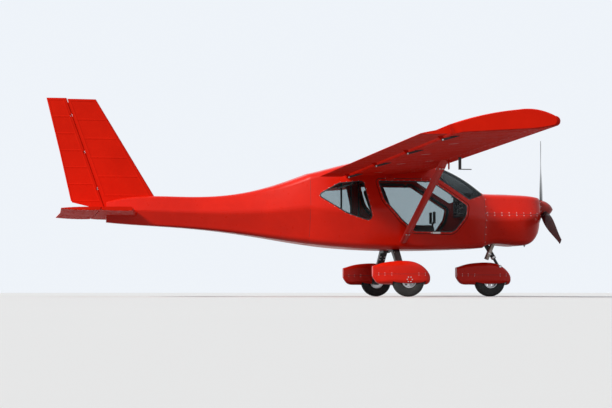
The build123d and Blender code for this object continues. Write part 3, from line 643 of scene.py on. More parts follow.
def wing_details(name, side):
    """Tapes, leading edge screws, inspection covers and the fuel cap of a wing."""
    skin = Skin(f"wing_{name}")
    screws = begin(f"wing_{name}_screws", *STEEL)
    covers = begin(f"wing_{name}_covers", "red_paint")
    cap = begin(f"fuel_cap_{name}", *STEEL)
    for face, (height, way) in FACES.items():
        last = 2.75 if face == "upper" else 2.7
        lines = ribs((0.62, LAST_RIB), (1.712, 1.712), (last, last), 15, 26, TAPE_WIDTH)
        spars = [[(aft, span) for span in spread(0.56, TAPE_END, 40)] for aft in (2.02, 2.7)]
        lines += [(spar, 0.03, False) for spar in spars]
        tapes(f"wing_{name}_{face}_tapes", f"wing_{name}", "airframe", [wing_view(side, height, way)], lines)
        for span in spread(0.6, TAPE_END, 36):
            skin.fix(screw, screws, on_wing(side, span, 1.985, height), way, 0.003)

    for span, aft in ((0.95, 2.45), (1.9, 2.45), (2.85, 2.45), (3.8, 2.45), (2.03, 2.16)):
        middle = on_wing(side, span, aft, 0.5)
        patch(covers, skin, middle, FORWARD, PORT, UP, circle(0.055, 28), 0.0018)
        for x, y in circle(0.046, 6):
            skin.fix(screw, covers, middle + Vector((x, y, 0)), UP, 0.0028, 0.0018)

    spot = skin.hit(on_wing(side, 0.86, 2.15, 3.0), (0, 0, -1))
    rows = [(0.046, -0.004), (0.046, 0.002), (0.043, 0.004), (0.032, 0.004), (0.031, 0.012), (0.026, 0.014)]
    lathe(cap, rows, *spot, 32)
    grip = [(spot[0] + Vector((way * 0.024, 0, 0.016)), spot[1]) for way in (-1, 0, 1)]
    sweep(cap, grip, strip_section(0.008, 0.004))


def tip_lamp(name, side, colour_name, colour):
    """Navigation lamp let into the leading edge of the wing tip, on a dark base."""
    skin, span = Skin(f"wing_{name}"), 4.6
    middle = on_wing(side, span, 1.7, wing_rise(span) + 0.004) + FORWARD * 0.5
    lens = lamp_lens(f"{colour_name}_lens", colour)
    for kind, outline, lift, slot, material in (("base", (0.062, 0.021, 0.018), 0.003, "panel_black", None),
                                                ("lens", (0.04, 0.014, 0.012), 0.009, "clear_glass", lens)):
        shape = begin(f"tip_lamp_{kind}_{name}", slot, material)
        patch(shape, skin, middle, PORT, UP, (-1, 0, 0), rounded(*outline), lift)


def flaperon_details(name, side):
    body = f"flaperon_{name}"
    lines = ribs((0.66, LAST_RIB), (2.782, 2.782), (3.05, 3.05), 17, 10, 0.018)
    lines.append(([(3.045, span) for span in spread(0.63, TAPE_END, 30)], 0.016, False))
    tapes(f"{body}_tapes", body, body, [wing_view(side, *face) for face in FACES.values()], lines)


HINGE_AFT, HINGE_DROP, WING_TILT = 1.098, 0.058, math.radians(5.4)


def hinge_bolts(name, side):
    """A nut and a bolt head at each flaperon bracket."""
    shape = begin(f"flaperon_bolts_{name}", *STEEL)
    aft = HINGE_AFT * math.cos(WING_TILT) - HINGE_DROP * math.sin(WING_TILT)
    down = HINGE_AFT * math.sin(WING_TILT) + HINGE_DROP * math.cos(WING_TILT)
    line = Vector((WING_SWEEP * side, 1, WING_RISE * side)).normalized()
    for span in (0.9, 2.12, 3.34, 4.52):
        place = on_wing(side, span, WING_FRONT + aft, wing_rise(span) - down)
        bolt(shape, place - line * 0.0035, -line, 0.0062)
        lathe(shape, [(0.0075, 0.015), (0.0075, 0.0178), (0.006, 0.0185)], place, line, 12)


tip_lamp("left", 1, "red", (0.75, 0.02, 0.02))
tip_lamp("right", -1, "green", (0.01, 0.42, 0.12))
for name, side in SIDES.items():
    wing_details(name, side)
    flaperon_details(name, side)
    hinge_bolts(name, side)


# The views of the fin and of the tailplane, for their tapes
UPRIGHT = [(lambda aft, run, side=side: (at(aft), side * 0.5, run), (0, -side, 0)) for side in (1, -1)]
LEVEL = [(lambda aft, run, side=side, height=height: (at(aft), side * run, height), way)
         for side in (1, -1) for height, way in FACES.values()]
UPRIGHT_EDGES = [("fin", "airframe", (1.2, 2.32), (5.015, 5.655), (5.545, 5.955), 6),
                 ("rudder", "rudder", (1.13, 2.33), (5.6, 6.03), (5.925, 6.205), 7)]
LEVEL_EDGES = [("stabilizer", "airframe", (0.14, 1.165), (5.185, 5.3), (5.615, 5.615), 6),
               ("elevator", "elevator", (0.3, 1.165), (5.675, 5.675), (6.035, 6.055), 5)]
for node, body, runs, front, back, count in UPRIGHT_EDGES:
    lines = ribs(runs, front, back, count, 18, 0.02)
    lines += [(list(zip(spread(*edge, 30), spread(*runs, 30))), 0.02, False) for edge in (front, back)]
    tapes(f"{node}_tapes", node, body, UPRIGHT, lines)
for node, body, *edges in LEVEL_EDGES:
    tapes(f"{node}_tapes", node, body, LEVEL, ribs(*edges, 14, 0.018))


# How near its start a shroud's face lies, and how far the notches are from the hinge pins
SHROUD_REACH, NOTCH_AHEAD = 0.01, 0.0225


def gap_shroud(name, node, starts, across, halves, lips):
    """A channel on the back face of a fixed surface, its lips reaching round the moving nose."""
    skin, rings = Skin(node), []
    shape = begin(name, "red_cloth")
    for start, half, lip in zip(starts, spread(*halves, len(starts)), spread(*lips, len(starts))):
        spot = skin.hit(start, FORWARD)
        if spot is None or (spot[0] - start).length > SHROUD_REACH:
            continue
        outer = [(half, -0.002), (half - 0.0004, lip), (half - 0.0016, lip), (half - 0.0022, 0.003)]
        section = outer + [(-wide, high) for wide, high in outer[::-1]]
        rings.append([shape.verts.new(spot[0] + across * wide + spot[1] * high) for wide, high in section])
    join_rings(shape, rings)


def hinge_fittings(body, points, line, half):
    """What fills the notch round each hinge lug: cheeks ahead, spacers on the pin, a block behind."""
    forward = Vector((line.z, 0, -line.x)) if line.z else FORWARD
    cheeks = begin(f"{body}_hinge_cheeks", "red_paint")
    blocks = begin(f"{body}_hinge_blocks", "red_paint", body=body)
    spacers = begin(f"{body}_hinge_spacers", "red_paint", body=body)
    for point in points:
        for shape, ahead, tall in ((cheeks, NOTCH_AHEAD, 0.011), (blocks, -NOTCH_AHEAD, 0.0128)):
            corner = point + forward * ahead - line * tall
            outline = rounded(0.0085, half, 0.003, 3)
            plate(shape, outline, [], 2 * tall, corner, forward, line.cross(forward), line)
        for way in (-1, 1):
            lathe(spacers, [(0.0095, 0.0045), (0.0095, 0.013)], point, line * way, 20)


TAIL_HEIGHT = 0.985
RUDDER_LOW, RUDDER_HIGH = Vector((at(5.553), 0, 1.04)), Vector((at(6.012), 0, 2.35))
rudder_line = (RUDDER_HIGH - RUDDER_LOW).normalized()
rudder_hinges = [RUDDER_LOW + rudder_line * run for run in (0.248, 0.708, 1.168)]
hinge_fittings("rudder", rudder_hinges, rudder_line, 0.013)
elevator_hinges = [Vector((at(5.665), span, TAIL_HEIGHT)) for span in (-1.08, -0.62, -0.16, 0.16, 0.62, 1.08)]
hinge_fittings("elevator", elevator_hinges, PORT, 0.012)

fin_gap = [Vector((at(aft), 0, z)) for aft, z in zip(spread(5.5345, 5.975, 60), spread(1.064, 2.3, 60))]
gap_shroud("rudder_gap_shroud", "fin", fin_gap, PORT, (0.0253, 0.0169), (0.0085, 0.0085))
for name, side in SIDES.items():
    tail_gap = [Vector((at(5.6365), side * span, TAIL_HEIGHT)) for span in spread(0.0, 1.18, 60)]
    gap_shroud(f"elevator_gap_shroud_{name}", "stabilizer", tail_gap, UP, (0.0232, 0.0164), (0.013, 0.0185))


# Body skin details

BODY_MIDDLE, BODY_REACH = 0.95, 1.5
COWL_SPLIT, FIREWALL, BOOM_JOINT, INTAKE_HEIGHT = 1.0, 0.99, 3.13, 0.772
# Where rays at the body's side and at its top start
BESIDE, OVERHEAD = 0.9, 2.0
COWLS = Skin("cowl_upper", "cowl_lower")
CABIN = Skin("cabin_side_left", "cabin_side_right", "door_left", "door_right", "roof", "belly")


def body_ring(skin, aft, count, start=0.0):
    """(point, normal) pairs round the body at a station."""
    middle = Vector((at(aft), 0, BODY_MIDDLE))
    return [spot[:2] for spot in skin.around(middle, PORT, UP, BODY_REACH, count, math.radians(start))]


def cowl_seams():
    """Dark joints round the cowling with rows of quarter-turn fasteners."""
    seams = begin("cowl_seams", *RUBBER)
    screws = begin("cowl_fasteners", *STEEL)
    for side in SIDES.values():
        starts = [(at(aft), side * BESIDE, COWL_SPLIT) for aft in spread(0.243, 0.985, 40)]
        sweep(seams, COWLS.trace(starts, (0, -side, 0)), strip_section(0.0032, 0.0006))
        for aft in spread(0.3, 0.955, 8):
            for rise in (0.016, -0.016):
                COWLS.fix(screw, screws, (at(aft), side * BESIDE, COWL_SPLIT + rise), (0, -side, 0), 0.0052)
    sweep(seams, body_ring(COWLS, FIREWALL - 0.0022, 60), strip_section(0.0032, 0.0006), True)
    for spot in body_ring(COWLS, FIREWALL - 0.018, 30, 4):
        screw(screws, *spot, 0.0045)


def boom_joint():
    """The joint of cabin and tail boom: a fine seam between two rows of painted rivets."""
    skin = Skin("tail_boom", "roof", "belly", "cabin_side_left", "cabin_side_right")
    seam = begin("boom_joint_seam", *RUBBER)
    rivets = begin("boom_joint_rivets", "red_paint")
    sweep(seam, body_ring(skin, BOOM_JOINT, 60), strip_section(0.0026, 0.0004), True)
    for shift in (-0.013, 0.013):
        for spot in body_ring(skin, BOOM_JOINT + shift, 72):
            screw(rivets, *spot, 0.0026)


def oil_door():
    """A small door on the upper cowling, with its hinge and two fasteners."""
    x = at(0.7)
    door = begin("oil_door", "red_paint")
    furniture = begin("oil_door_fasteners", *STEEL)
    down = (0, 0, -1)
    patch(door, COWLS, (x, -0.2, OVERHEAD), FORWARD, PORT, down, rounded(0.085, 0.06, 0.014), 0.0016)
    hinge = COWLS.trace([(x + shift, -0.142, OVERHEAD) for shift in spread(-0.075, 0.075, 12)], down)
    sweep(furniture, [(point + up * 0.001, up) for point, up in hinge], circle(0.003, 10))
    for shift in (-0.045, 0.045):
        COWLS.fix(screw, furniture, (x + shift, -0.247, OVERHEAD), down, 0.0058, 0.0016)


def intake_lip():
    """A rolled rubber edge round the radiator intake."""
    shape = begin("intake_lip", *RUBBER)
    outline = rounded(0.137, 0.038, 0.03, 8)
    spots = [COWLS.hit((at(-0.2), y, INTAKE_HEIGHT + z), (-1, 0, 0)) for y, z in outline]
    sweep(shape, [spot for spot in spots if spot], circle(0.0048, 8), True)


def radiator_core():
    """Fins and tubes of the radiator behind the intake."""
    low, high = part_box("radiator")
    shape = begin("radiator_core", "engine_alloy")
    face = high[0] + 0.001
    for z in spread(low[2] + 0.01, high[2] - 0.01, 9):
        rod(shape, (face, low[1] + 0.006, z), (face, high[1] - 0.006, z), 0.0024, 6)
    for y in spread(low[1] + 0.008, high[1] - 0.008, 58):
        path = [(Vector((face, y, z)), FORWARD) for z in (low[2] + 0.006, high[2] - 0.006)]
        sweep(shape, path, strip_section(0.0012, 0.0016))


cowl_seams()
boom_joint()
oil_door()
intake_lip()
radiator_core()

PANE_STEP, PANE_SCREW_EVERY = 0.018, 4
PANE_SCREW_RAY, PANE_SCREW_NEAR = 0.04, 0.03
PANE_BEAD = [(0.004, 0.0046), (0.003, 0.0058), (-0.002, 0.006), (-0.009, 0.003), (-0.011, -0.0006),
             (0.0, -0.001)]


def pane_trim(name, body, outward, frames, reach=0.013):
    """A rubber bead in the step round a pane, and a row of screws in its frame."""
    skin = Skin(*frames)
    path = loop_path(even_loop(border_loops(name, outward)[0], PANE_STEP), outward)
    bead = begin(f"{name}_bead", *RUBBER, body=body)
    screws = begin(f"{name}_screws", *STEEL, body=body)
    sweep(bead, path, PANE_BEAD, True)
    for index in range(0, len(path), PANE_SCREW_EVERY):
        point, up = path[index]
        along = (path[(index + 1) % len(path)][0] - path[index - 1][0]).normalized()
        spot = skin.hit(point - along.cross(up).normalized() * reach + up * PANE_SCREW_RAY, -up)
        if spot and (spot[0] - point).length < PANE_SCREW_NEAR:
            screw(screws, *spot, 0.0031)


def door_furniture(name, side):
    """Pull handle, lock and hinge pins of a door."""
    body = f"door_{name}"
    skin = Skin(body)
    metal = begin(f"{body}_handle", *STEEL, body=body)
    pins = begin(f"{body}_hinge_pins", *STEEL)
    start, way = Vector((at(1.62), side * BESIDE, 0.764)), (0, -side, 0)
    spot = skin.hit(start, way)[0]
    patch(metal, skin, start, FORWARD, UP, way, rounded(0.05, 0.011, 0.01), 0.002)
    half = [(-0.036, 0), (-0.034, 0.016), (-0.024, 0.022)]
    ends = half + [(-x, y) for x, y in half[::-1]]
    sweep(metal, [(spot + Vector((x, side * y, 0)), UP) for x, y in ends], circle(0.0042, 8))
    lock = [(0.0075, 0), (0.0075, 0.003), (0.006, 0.004), (0.002, 0.003)]
    lathe(metal, lock, spot - FORWARD * 0.065, (0, side, 0))
    for aft in (1.76, 2.2):
        for way in (-1, 1):
            end = (at(aft) + way * 0.0525, side * 0.544, 1.404)
            lathe(pins, [(0.0052, 0), (0.0052, 0.004), (0.003, 0.0055)], end, (way, 0, 0), 12)


def door_seal(name, side):
    """A rubber flap inside the cabin that closes the gap round the door."""
    loops = border_loops(f"door_{name}", facing_side(side))
    outer = max(loops, key=lambda loop: sum((b - a).length for a, b in zip(loop, loop[1:])))
    laid = []
    shape = begin(f"door_seal_{name}", *RUBBER)
    for point, _ in loop_path(even_loop(outer, 0.03), facing_side(side)):
        start = Vector((point.x, point.y * 0.5, point.z))
        around = [CABIN.hit(start + Vector((shift, 0, rise)), (0, side, 0))
                  for shift, rise in ((0.03, 0), (-0.03, 0), (0, 0.03), (0, -0.03))]
        depths = [abs(spot[0].y) for spot in around if spot]
        if depths:
            laid.append((Vector((point.x, side * (min(depths) - 0.0005), point.z)), Vector((0, -side, 0))))
    sweep(shape, laid, strip_section(0.034, 0.0025), True)


def strut_details(name, side):
    """Bolted end fittings and cuffs of the lift strut."""
    foot, head = Vector((at(2.02), side * 0.47, 0.65)), Vector((at(1.92), side * 2.03, 1.5))
    upward = (head - foot).normalized().cross(FORWARD)
    skin = Skin(f"strut_{name}")
    cuffs = begin(f"strut_{name}_cuffs", "red_paint")
    bolts = begin(f"strut_{name}_bolts", *STEEL)
    for share in (0.115, 0.925):
        middle = foot.lerp(head, share)
        path = [(point, way) for point, _, way in skin.around(middle, FORWARD, upward, 0.3, 28)]
        sweep(cuffs, path, strip_section(0.07, 0.0022), True)
        for way in (-upward, upward):
            for shift in (-0.016, 0.016):
                skin.fix(bolt, bolts, middle + FORWARD * shift + way * 0.3, -way, 0.0058, 0.002)


for name, side in SIDES.items():
    pane_trim(f"quarter_window_{name}", "airframe", facing_side(side), (f"cabin_side_{name}", "roof"))
    pane_trim(f"door_glass_{name}", f"door_{name}", facing_side(side), (f"door_{name}",))
    door_furniture(name, side)
    door_seal(name, side)
    strut_details(name, side)
pane_trim("windscreen", "airframe", facing_out, ("windscreen_frame", "cowl_upper"), 0.012)
pane_trim("skylight", "airframe", facing_out, ("roof",))


# Wheels, legs and spats

TYRE_RADIUS = 0.19
MAIN_X, MAIN_SPAN, NOSE_X = at(2.06), 0.875, at(0.82)
TYRE = mirrored([
    (0.0885, 0.05), (0.096, 0.0555), (0.101, 0.0565), (0.103, 0.059), (0.106, 0.059), (0.109, 0.06),
    (0.12, 0.0618), (0.14, 0.0619), (0.156, 0.061), (0.158, 0.0595), (0.162, 0.0592), (0.172, 0.055),
    (0.18, 0.048), (0.1852, 0.04), (0.188, 0.031), (0.186, 0.03), (0.185, 0.0285), (0.185, 0.0265),
    (0.1884, 0.025), (0.1893, 0.014), (0.1863, 0.0128), (0.1863, 0.0098), (0.1896, 0.0086), (0.1899, 0.0)])
BARREL = mirrored([(0.076, 0.047), (0.079, 0.0575), (0.086, 0.0578), (0.0878, 0.054), (0.0878, 0.049)])
HUB = mirrored([(0.0127, 0.0575), (0.024, 0.0575), (0.0262, 0.055), (0.033, 0.014)])
STEM = [(0.004, 0), (0.004, 0.01), (0.0028, 0.011), (0.0028, 0.018), (0.0034, 0.0182), (0.0034, 0.023),
        (0.002, 0.0235)]


def wheel(name, body, x, y):
    """A tyre with grooves and bead rings on a split rim with two dished discs, a hub, bolts and a valve."""
    centre = Vector((x, y, TYRE_RADIUS))
    shape = begin(f"{name}_tyre_detailed", "tyre_rubber", None, body, 30, f"{name}_tyre")
    lathe(shape, TYRE, centre, PORT, 96, ring=True)
    shape = begin(f"{name}_rim_detailed", "rim_alloy", None, body, 35, f"{name}_rim")
    lathe(shape, BARREL, centre, PORT, 64, ring=True)
    lathe(shape, HUB, centre, PORT, 40, ring=True)
    holes = [circle(0.0125, 20, spot) for spot in circle(0.055, 6)]
    for start in (-0.0125, 0.0045):
        inside = [circle(0.0325, 40), *holes]
        plate(shape, circle(0.0765, 64), inside, 0.008, centre + PORT * start, FORWARD, UP, PORT)
    bolts = begin(f"{name}_rim_bolts", *STEEL, body=body)
    for face in (-1, 1):
        for a, b in circle(0.0685, 6):
            bolt(bolts, centre + Vector((b, face * 0.0126, a)), (0, face, 0), 0.0045)
    lathe(bolts, STEM, centre + Vector((0.06, 0.032, 0.03)), PORT, 12)


def brake(name, side):
    """A drilled brake disc on the inner side of a main wheel."""
    disc = begin(f"brake_disc_{name}", "rim_alloy", STEEL[1], body=f"wheel_{name}")
    drilled = [circle(0.0035, 8, spot) for spot in circle(0.062, 16)]
    middle = (MAIN_X, side * (MAIN_SPAN - 0.06), TYRE_RADIUS)
    inward = Vector((0, -side, 0))
    plate(disc, circle(0.0745, 48), [circle(0.042, 32), *drilled], 0.004, middle, FORWARD, UP, inward)


def spat_details(node, body, x, y):
    """A split line along the joint of a spat's two halves, with screws, and bolts at a main axle."""
    skin = Skin(node)
    seam = begin(f"{node}_seam", *RUBBER, body=body)
    screws = begin(f"{node}_screws", *STEEL, body=body)
    for side in SIDES.values():
        way, base = (0, -side, 0), Vector((x, y + side * 0.4, TYRE_RADIUS))
        starts = [base + Vector((-aft, 0, 0.075)) for aft in spread(-0.245, 0.405, 34)]
        sweep(seam, skin.trace(starts, way), strip_section(0.0026, 0.0005))
        for aft in (-0.19, -0.11, 0.21, 0.29, 0.36):
            for rise in (0.063, 0.087):
                skin.fix(screw, screws, base + Vector((-aft, 0, rise)), way, 0.0036)
        for a, b in circle(0.03, 6) if y else ():
            skin.fix(bolt, screws, base + Vector((a, 0, b + 0.012)), way, 0.0046)


def leg_details(name, side):
    """A brake line clipped along the main leg, and the bolts where it leaves the belly."""
    skin = Skin(f"main_leg_{name}")
    line = begin(f"brake_line_{name}", *RUBBER)
    clips = begin(f"brake_clips_{name}", *STEEL)
    bolts = begin(f"main_leg_bolts_{name}", *STEEL)
    x = at(2.085)
    starts = [(x - 0.028, side * y, z + 0.3) for y, z in zip(spread(0.34, 0.755, 14), spread(0.57, 0.24, 14))]
    path = [(point + up * 0.004, up) for point, up in skin.trace(starts, (0, 0, -1))]
    sweep(line, path, circle(0.0034, 8))
    along = path[5][0] - path[3][0]
    for point, _ in path[2::4]:
        lathe(clips, [(0.0046, -0.006), (0.0052, -0.005), (0.0052, 0.005), (0.0046, 0.006)], point, along, 12)
    for shift in (-0.026, 0.026):
        for y in (0.352, 0.397):
            skin.fix(bolt, bolts, (x + shift, side * y, 0.2), UP, 0.0075)


def nose_gear_details():
    """Axle nuts, yoke nuts and the clamp collar of the steered fork."""
    nuts = begin("nose_fork_nuts", *STEEL, body="nose_fork")
    collar = begin("nose_leg_collar", "black_metal", MATERIALS["rim_alloy"])
    foot = Vector((at(0.705), 0, 0.37))
    nut = [(0.017, 0), (0.017, 0.006), (0.015, 0.008)]
    for side in SIDES.values():
        lathe(nuts, nut, foot + PORT * (side * 0.08), (0, side, 0), 6)
    up = Vector((-0.135, 0, 0.228)).normalized()
    band = [(0.0285, 0.01), (0.0325, 0.012), (0.0325, 0.03), (0.0285, 0.032)]
    lathe(collar, band, foot + up * 0.11, up, 32)


for name, side in SIDES.items():
    wheel(f"main_{name}", f"wheel_{name}", MAIN_X, side * MAIN_SPAN)
    brake(name, side)
    spat_details(f"main_spat_{name}", "airframe", MAIN_X, side * MAIN_SPAN)
    leg_details(name, side)
wheel("nose", "nose_wheel", NOSE_X, 0.0)
spat_details("nose_spat", "nose_fork", NOSE_X, 0.0)
nose_gear_details()


# Propeller, spinner and exhaust


def spinner_details():
    """A bright backplate ring with its screws, and rubber cuffs at the blade roots."""
    middle = Vector((0, 0, THRUST_HEIGHT))
    ring = begin("spinner_backplate", "rim_alloy", body="propeller")
    screws = begin("spinner_screws", *STEEL, body="propeller")
    cuffs = begin("blade_cuffs", *RUBBER, body="propeller")
    rows = [(0.1105, 0), (0.1118, 0.001), (0.1118, 0.006), (0.1095, 0.0075)]
    lathe(ring, rows, middle + FORWARD * at(0.2045), FORWARD, 72)
    rim = middle + FORWARD * at(0.188)
    for point, normal, _ in Skin("spinner").around(rim, UP, PORT, 0.4, 12, math.radians(15)):
        screw(screws, point, normal, 0.004)
    blades = Skin("propeller")
    for turn in turns(3):
        blade = arm(UP, -PORT, turn)
        root = middle + FORWARD * at(0.15) + blade * 0.112
        path = [(point, way) for point, _, way in blades.around(root, FORWARD, blade.cross(FORWARD), 0.2, 28)]
        sweep(cuffs, path, strip_section(0.01, 0.0022), True)


def exhaust_details():
    """A band clamp round the pipe and a rolled lip at its mouth."""
    top, end = Vector((at(0.727), -0.15, 0.8597)), Vector((at(0.903), -0.15, 0.455))
    along = (top - end).normalized()
    lip = begin("exhaust_lip", "pipe_steel")
    clamp = begin("exhaust_clamp", *STEEL)
    rows = [(0.0252, 0.0005), (0.0262, 0.0002), (0.0288, 0.0004), (0.0292, 0.0022), (0.0282, 0.004)]
    lathe(lip, rows, end, along, 40, ring=True)
    rows = [(0.0281, 0), (0.0296, 0.001), (0.0296, 0.013), (0.0281, 0.014)]
    lathe(clamp, rows, end + along * 0.07, along, 40, ring=True)
    seat = end + along * 0.077 + PORT.cross(along) * 0.03
    rod(clamp, seat - PORT * 0.012, seat + PORT * 0.012, 0.0032)
    bolt(clamp, seat + PORT * 0.01, PORT, 0.0042)


spinner_details()
exhaust_details()


# Seats: padded pieces blown up by a cloth simulation

SEAT_SPAN, SEAT_WIDTH, PAD_VOXEL, PAD_CAP = 0.26, 0.44, 0.008, 0.016
CUSHION_LENGTH, CUSHION_THICK, BACK_THICK = 0.43, 0.1, 0.068
CHANNEL_HALF, CHANNEL_DEPTH = 0.0055, 0.009
HELD_BELOW, HELD_LEAST, CLOTH_STEPS, EVENING_ROUNDS = 0.012, 0.3, 20, 6
BELT_RAYS_FROM = 1.2
BACK_FOOT, BACK_HEAD = Vector((at(2.0503), 0, 0.8)), Vector((at(2.262), 0, 1.35))
BACK_UP = (BACK_HEAD - BACK_FOOT).normalized()
BACK_FRONT = PORT.cross(BACK_UP)


def pad_form(name, length, thickness, corner):
    """A closed pad with soft edges, its back face on z = 0, a little smaller than its space."""
    shape, rings = bmesh.new(), []
    for inset, height in ((0.03, 0.001), (0.014, 0.003), (0.009, 0.014), (0.008, thickness * 0.55),
                          (0.013, thickness - 0.022), (0.026, thickness - 0.009), (0.05, thickness - 0.006)):
        outline = rounded(SEAT_WIDTH / 2 - inset, length / 2 - inset, corner - inset / 2, 5)
        rings.append([shape.verts.new((a, b, height)) for a, b in outline])
    join_rings(shape, rings)
    return add_object(name, mesh_of(name, shape))


def evaluated(pad):
    """Replaces a piece's mesh by what its modifiers make of it, and drops them."""
    graph = bpy.context.evaluated_depsgraph_get()
    mesh = bpy.data.meshes.new_from_object(pad.evaluated_get(graph))
    pad.modifiers.clear()
    pad.data = mesh


def channel_depth(place, thickness, across, along):
    """How deep a seam holds the pad at a place of its front face, 0 to 1."""
    if place.z < thickness * 0.6:
        return 0.0
    offsets = [place.x - x for x in across] + [place.y - y for y in along]
    return max(math.exp(-(offset / CHANNEL_HALF) ** 2) for offset in offsets)


def blow_up(pad, thickness, channels):
    """Remeshes the pad and lets cloth pressure crown it between its sewn channels."""
    remesh = pad.modifiers.new("remesh", "REMESH")
    remesh.mode = "VOXEL"
    remesh.voxel_size = PAD_VOXEL
    evaluated(pad)
    held = pad.vertex_groups.new(name="held")
    for vert in pad.data.vertices:
        hold = 1.0 if vert.co.z < HELD_BELOW else channel_depth(vert.co, thickness, *channels)
        if hold > HELD_LEAST:
            held.add([vert.index], hold, "REPLACE")
    before = [vert.co.copy() for vert in pad.data.vertices]
    cloth = pad.modifiers.new("cloth", "CLOTH")
    cloth.settings.quality = 6
    cloth.settings.mass = 0.25
    cloth.settings.use_pressure = True
    cloth.settings.uniform_pressure_force = 4.0
    cloth.settings.effector_weights.gravity = 0.0
    cloth.settings.vertex_group_mass = "held"
    for step in range(1, CLOTH_STEPS + 1):
        bpy.context.scene.frame_set(step)
    evaluated(pad)
    bpy.context.scene.frame_set(1)
    for vert, start in zip(pad.data.vertices, before):
        moved = vert.co - start
        if moved.length > PAD_CAP:
            vert.co = start + moved * (PAD_CAP / moved.length)
    # The remesh leaves low terraces, so the face is evened out before its channels are sewn in
    shape = bmesh.new()
    shape.from_mesh(pad.data)
    face = [vert for vert in shape.verts if vert.co.z > thickness * 0.5]
    for _ in range(EVENING_ROUNDS):
        bmesh.ops.smooth_vert(
            shape, verts=face, factor=0.5, use_axis_x=True, use_axis_y=True, use_axis_z=True)
    shape.to_mesh(pad.data)
    shape.free()
    for vert, start in zip(pad.data.vertices, before):
        vert.co.z -= CHANNEL_DEPTH * channel_depth(start, thickness, *channels)
    for polygon in pad.data.polygons:
        polygon.use_smooth = True


def seam_path(pad, length, height):
    """A path round the pad's side at a height, found on the blown-up form."""
    shape, path = bmesh.new(), []
    shape.from_mesh(pad.data)
    tree = tree_of(shape)
    for a, b in rounded(SEAT_WIDTH / 2 + 0.05, length / 2 + 0.05, 0.07, 9):
        start = Vector((a, b, height))
        way = (Vector((a * 0.72, b * 0.72, height)) - start).normalized()
        point = tree.ray_cast(start, way)[0]
        if point:
            path.append((point, -way))
    return path


def seat_pad(kind, length, thickness, corner, channels, origin, up, front, seam_height):
    """One pad for both seats: blown up once, then set in place on each side."""
    pad = pad_form(f"{kind}_form", length, thickness, corner)
    blow_up(pad, thickness, channels)
    seam = seam_path(pad, length, seam_height)
    turn = Matrix((up.cross(front), up, front)).transposed()
    for name, side in SIDES.items():
        place = turn.to_4x4()
        place.translation = origin + Vector((0, side * SEAT_SPAN, 0))
        mesh = pad.data.copy()
        mesh.transform(place)
        mesh.materials.clear()
        mesh.materials.append(MATERIALS["seat_cloth"])
        piece = add_object(f"{kind}_padded_{name}", mesh)
        piece.modifiers.new("smooth", "SUBSURF").levels = 1
        piece.modifiers["smooth"].render_levels = 1
        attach(piece, "airframe")
        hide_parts(f"{kind}_{name}")
        piping = begin(f"{kind}_piping_{name}", *PIPING)
        sweep(piping, [(place @ point, turn @ out) for point, out in seam], circle(0.0042, 8), True)
    bpy.data.objects.remove(pad)


seat_pad("seat_cushion", CUSHION_LENGTH, CUSHION_THICK, 0.05, ((-0.105, 0.105), (-0.075, 0.075)),
         Vector((at(1.835), 0, 0.762)), FORWARD, UP, 0.082)
seat_pad("seat_back", (BACK_HEAD - BACK_FOOT).length - 0.015, BACK_THICK, 0.06,
         ((-0.105, 0.105), (-0.14, -0.02, 0.1)),
         (BACK_FOOT + BACK_HEAD) / 2 - BACK_FRONT * BACK_THICK, BACK_UP, BACK_FRONT, 0.052)


def belts(name, side):
    """Lap and shoulder belts lying on the pads, with a buckle."""
    pads = bmesh.new()
    graph = bpy.context.evaluated_depsgraph_get()
    for kind in ("seat_cushion", "seat_back"):
        pads.from_mesh(bpy.data.objects[f"{kind}_padded_{name}"].evaluated_get(graph).to_mesh())
    tree = tree_of(pads)

    def lay(starts, way, lift=0.0):
        hits = [tree.ray_cast(Vector(start), way)[0] for start in starts]
        return [(point - way * (0.0015 + lift), -way) for point in hits if point]

    straps = begin(f"belts_{name}", *WEBBING)
    metal = begin(f"belt_buckle_{name}", *STEEL)
    button = begin(f"belt_button_{name}", *PIPING)
    section = [(-0.023, 0), (-0.023, 0.0018), (0.023, 0.0018), (0.023, 0)]
    middle, down = side * SEAT_SPAN, Vector((0, 0, -1))
    lap = lay([(at(1.985), middle + across, BELT_RAYS_FROM) for across in spread(-0.2, 0.2, 30)], down)
    sweep(straps, lap, section)
    for shift in (-0.075, 0.075):
        shares = zip(spread(1.13, 1.088, 5), spread(0.2, 0.42, 5))
        starts = [(x, middle + shift * share, BELT_RAYS_FROM) for x, share in shares]
        path = lay(starts, down, 0.002)
        starts = []
        for share in spread(0.155, 0.97, 28):
            lean = Vector((0, middle + shift * (0.35 + 0.65 * share), 0))
            starts.append(BACK_FOOT.lerp(BACK_HEAD, share) + BACK_FRONT * 0.25 + lean)
        sweep(straps, path + lay(starts, -BACK_FRONT), section)
    buckle = lap[len(lap) // 2][0] + UP * 0.003
    plate(metal, rounded(0.03, 0.024, 0.008, 4), [], 0.011, buckle, PORT, FORWARD, UP)
    plate(button, rounded(0.012, 0.016, 0.004, 4), [], 0.004, buckle + UP * 0.01, PORT, FORWARD, UP)


for name, side in SIDES.items():
    belts(name, side)


# Instrument panel, stick and pedals

PANEL_X = at(1.164)
BACK = Vector((-1, 0, 0))
SWITCH_HEIGHT, LEVER_HEIGHT, STICK_TOP = 1.008, 1.02, 0.897
TICKS, TICK_START, TICK_TURN, NEEDLE_START, NEEDLE_TURN = 25, -150, 12.5, -120, 37
GRIP_RIBS, GRIP_PITCH = 7, 0.016
DIALS = [(0.275, 1.165, 0.04), (0.18, 1.165, 0.04), (0.275, 1.07, 0.04), (0.18, 1.07, 0.04),
         (0.09, 1.185, 0.029), (0.09, 1.12, 0.029), (0.09, 1.055, 0.029), (-0.18, 1.15, 0.04),
         (-0.275, 1.15, 0.04)]


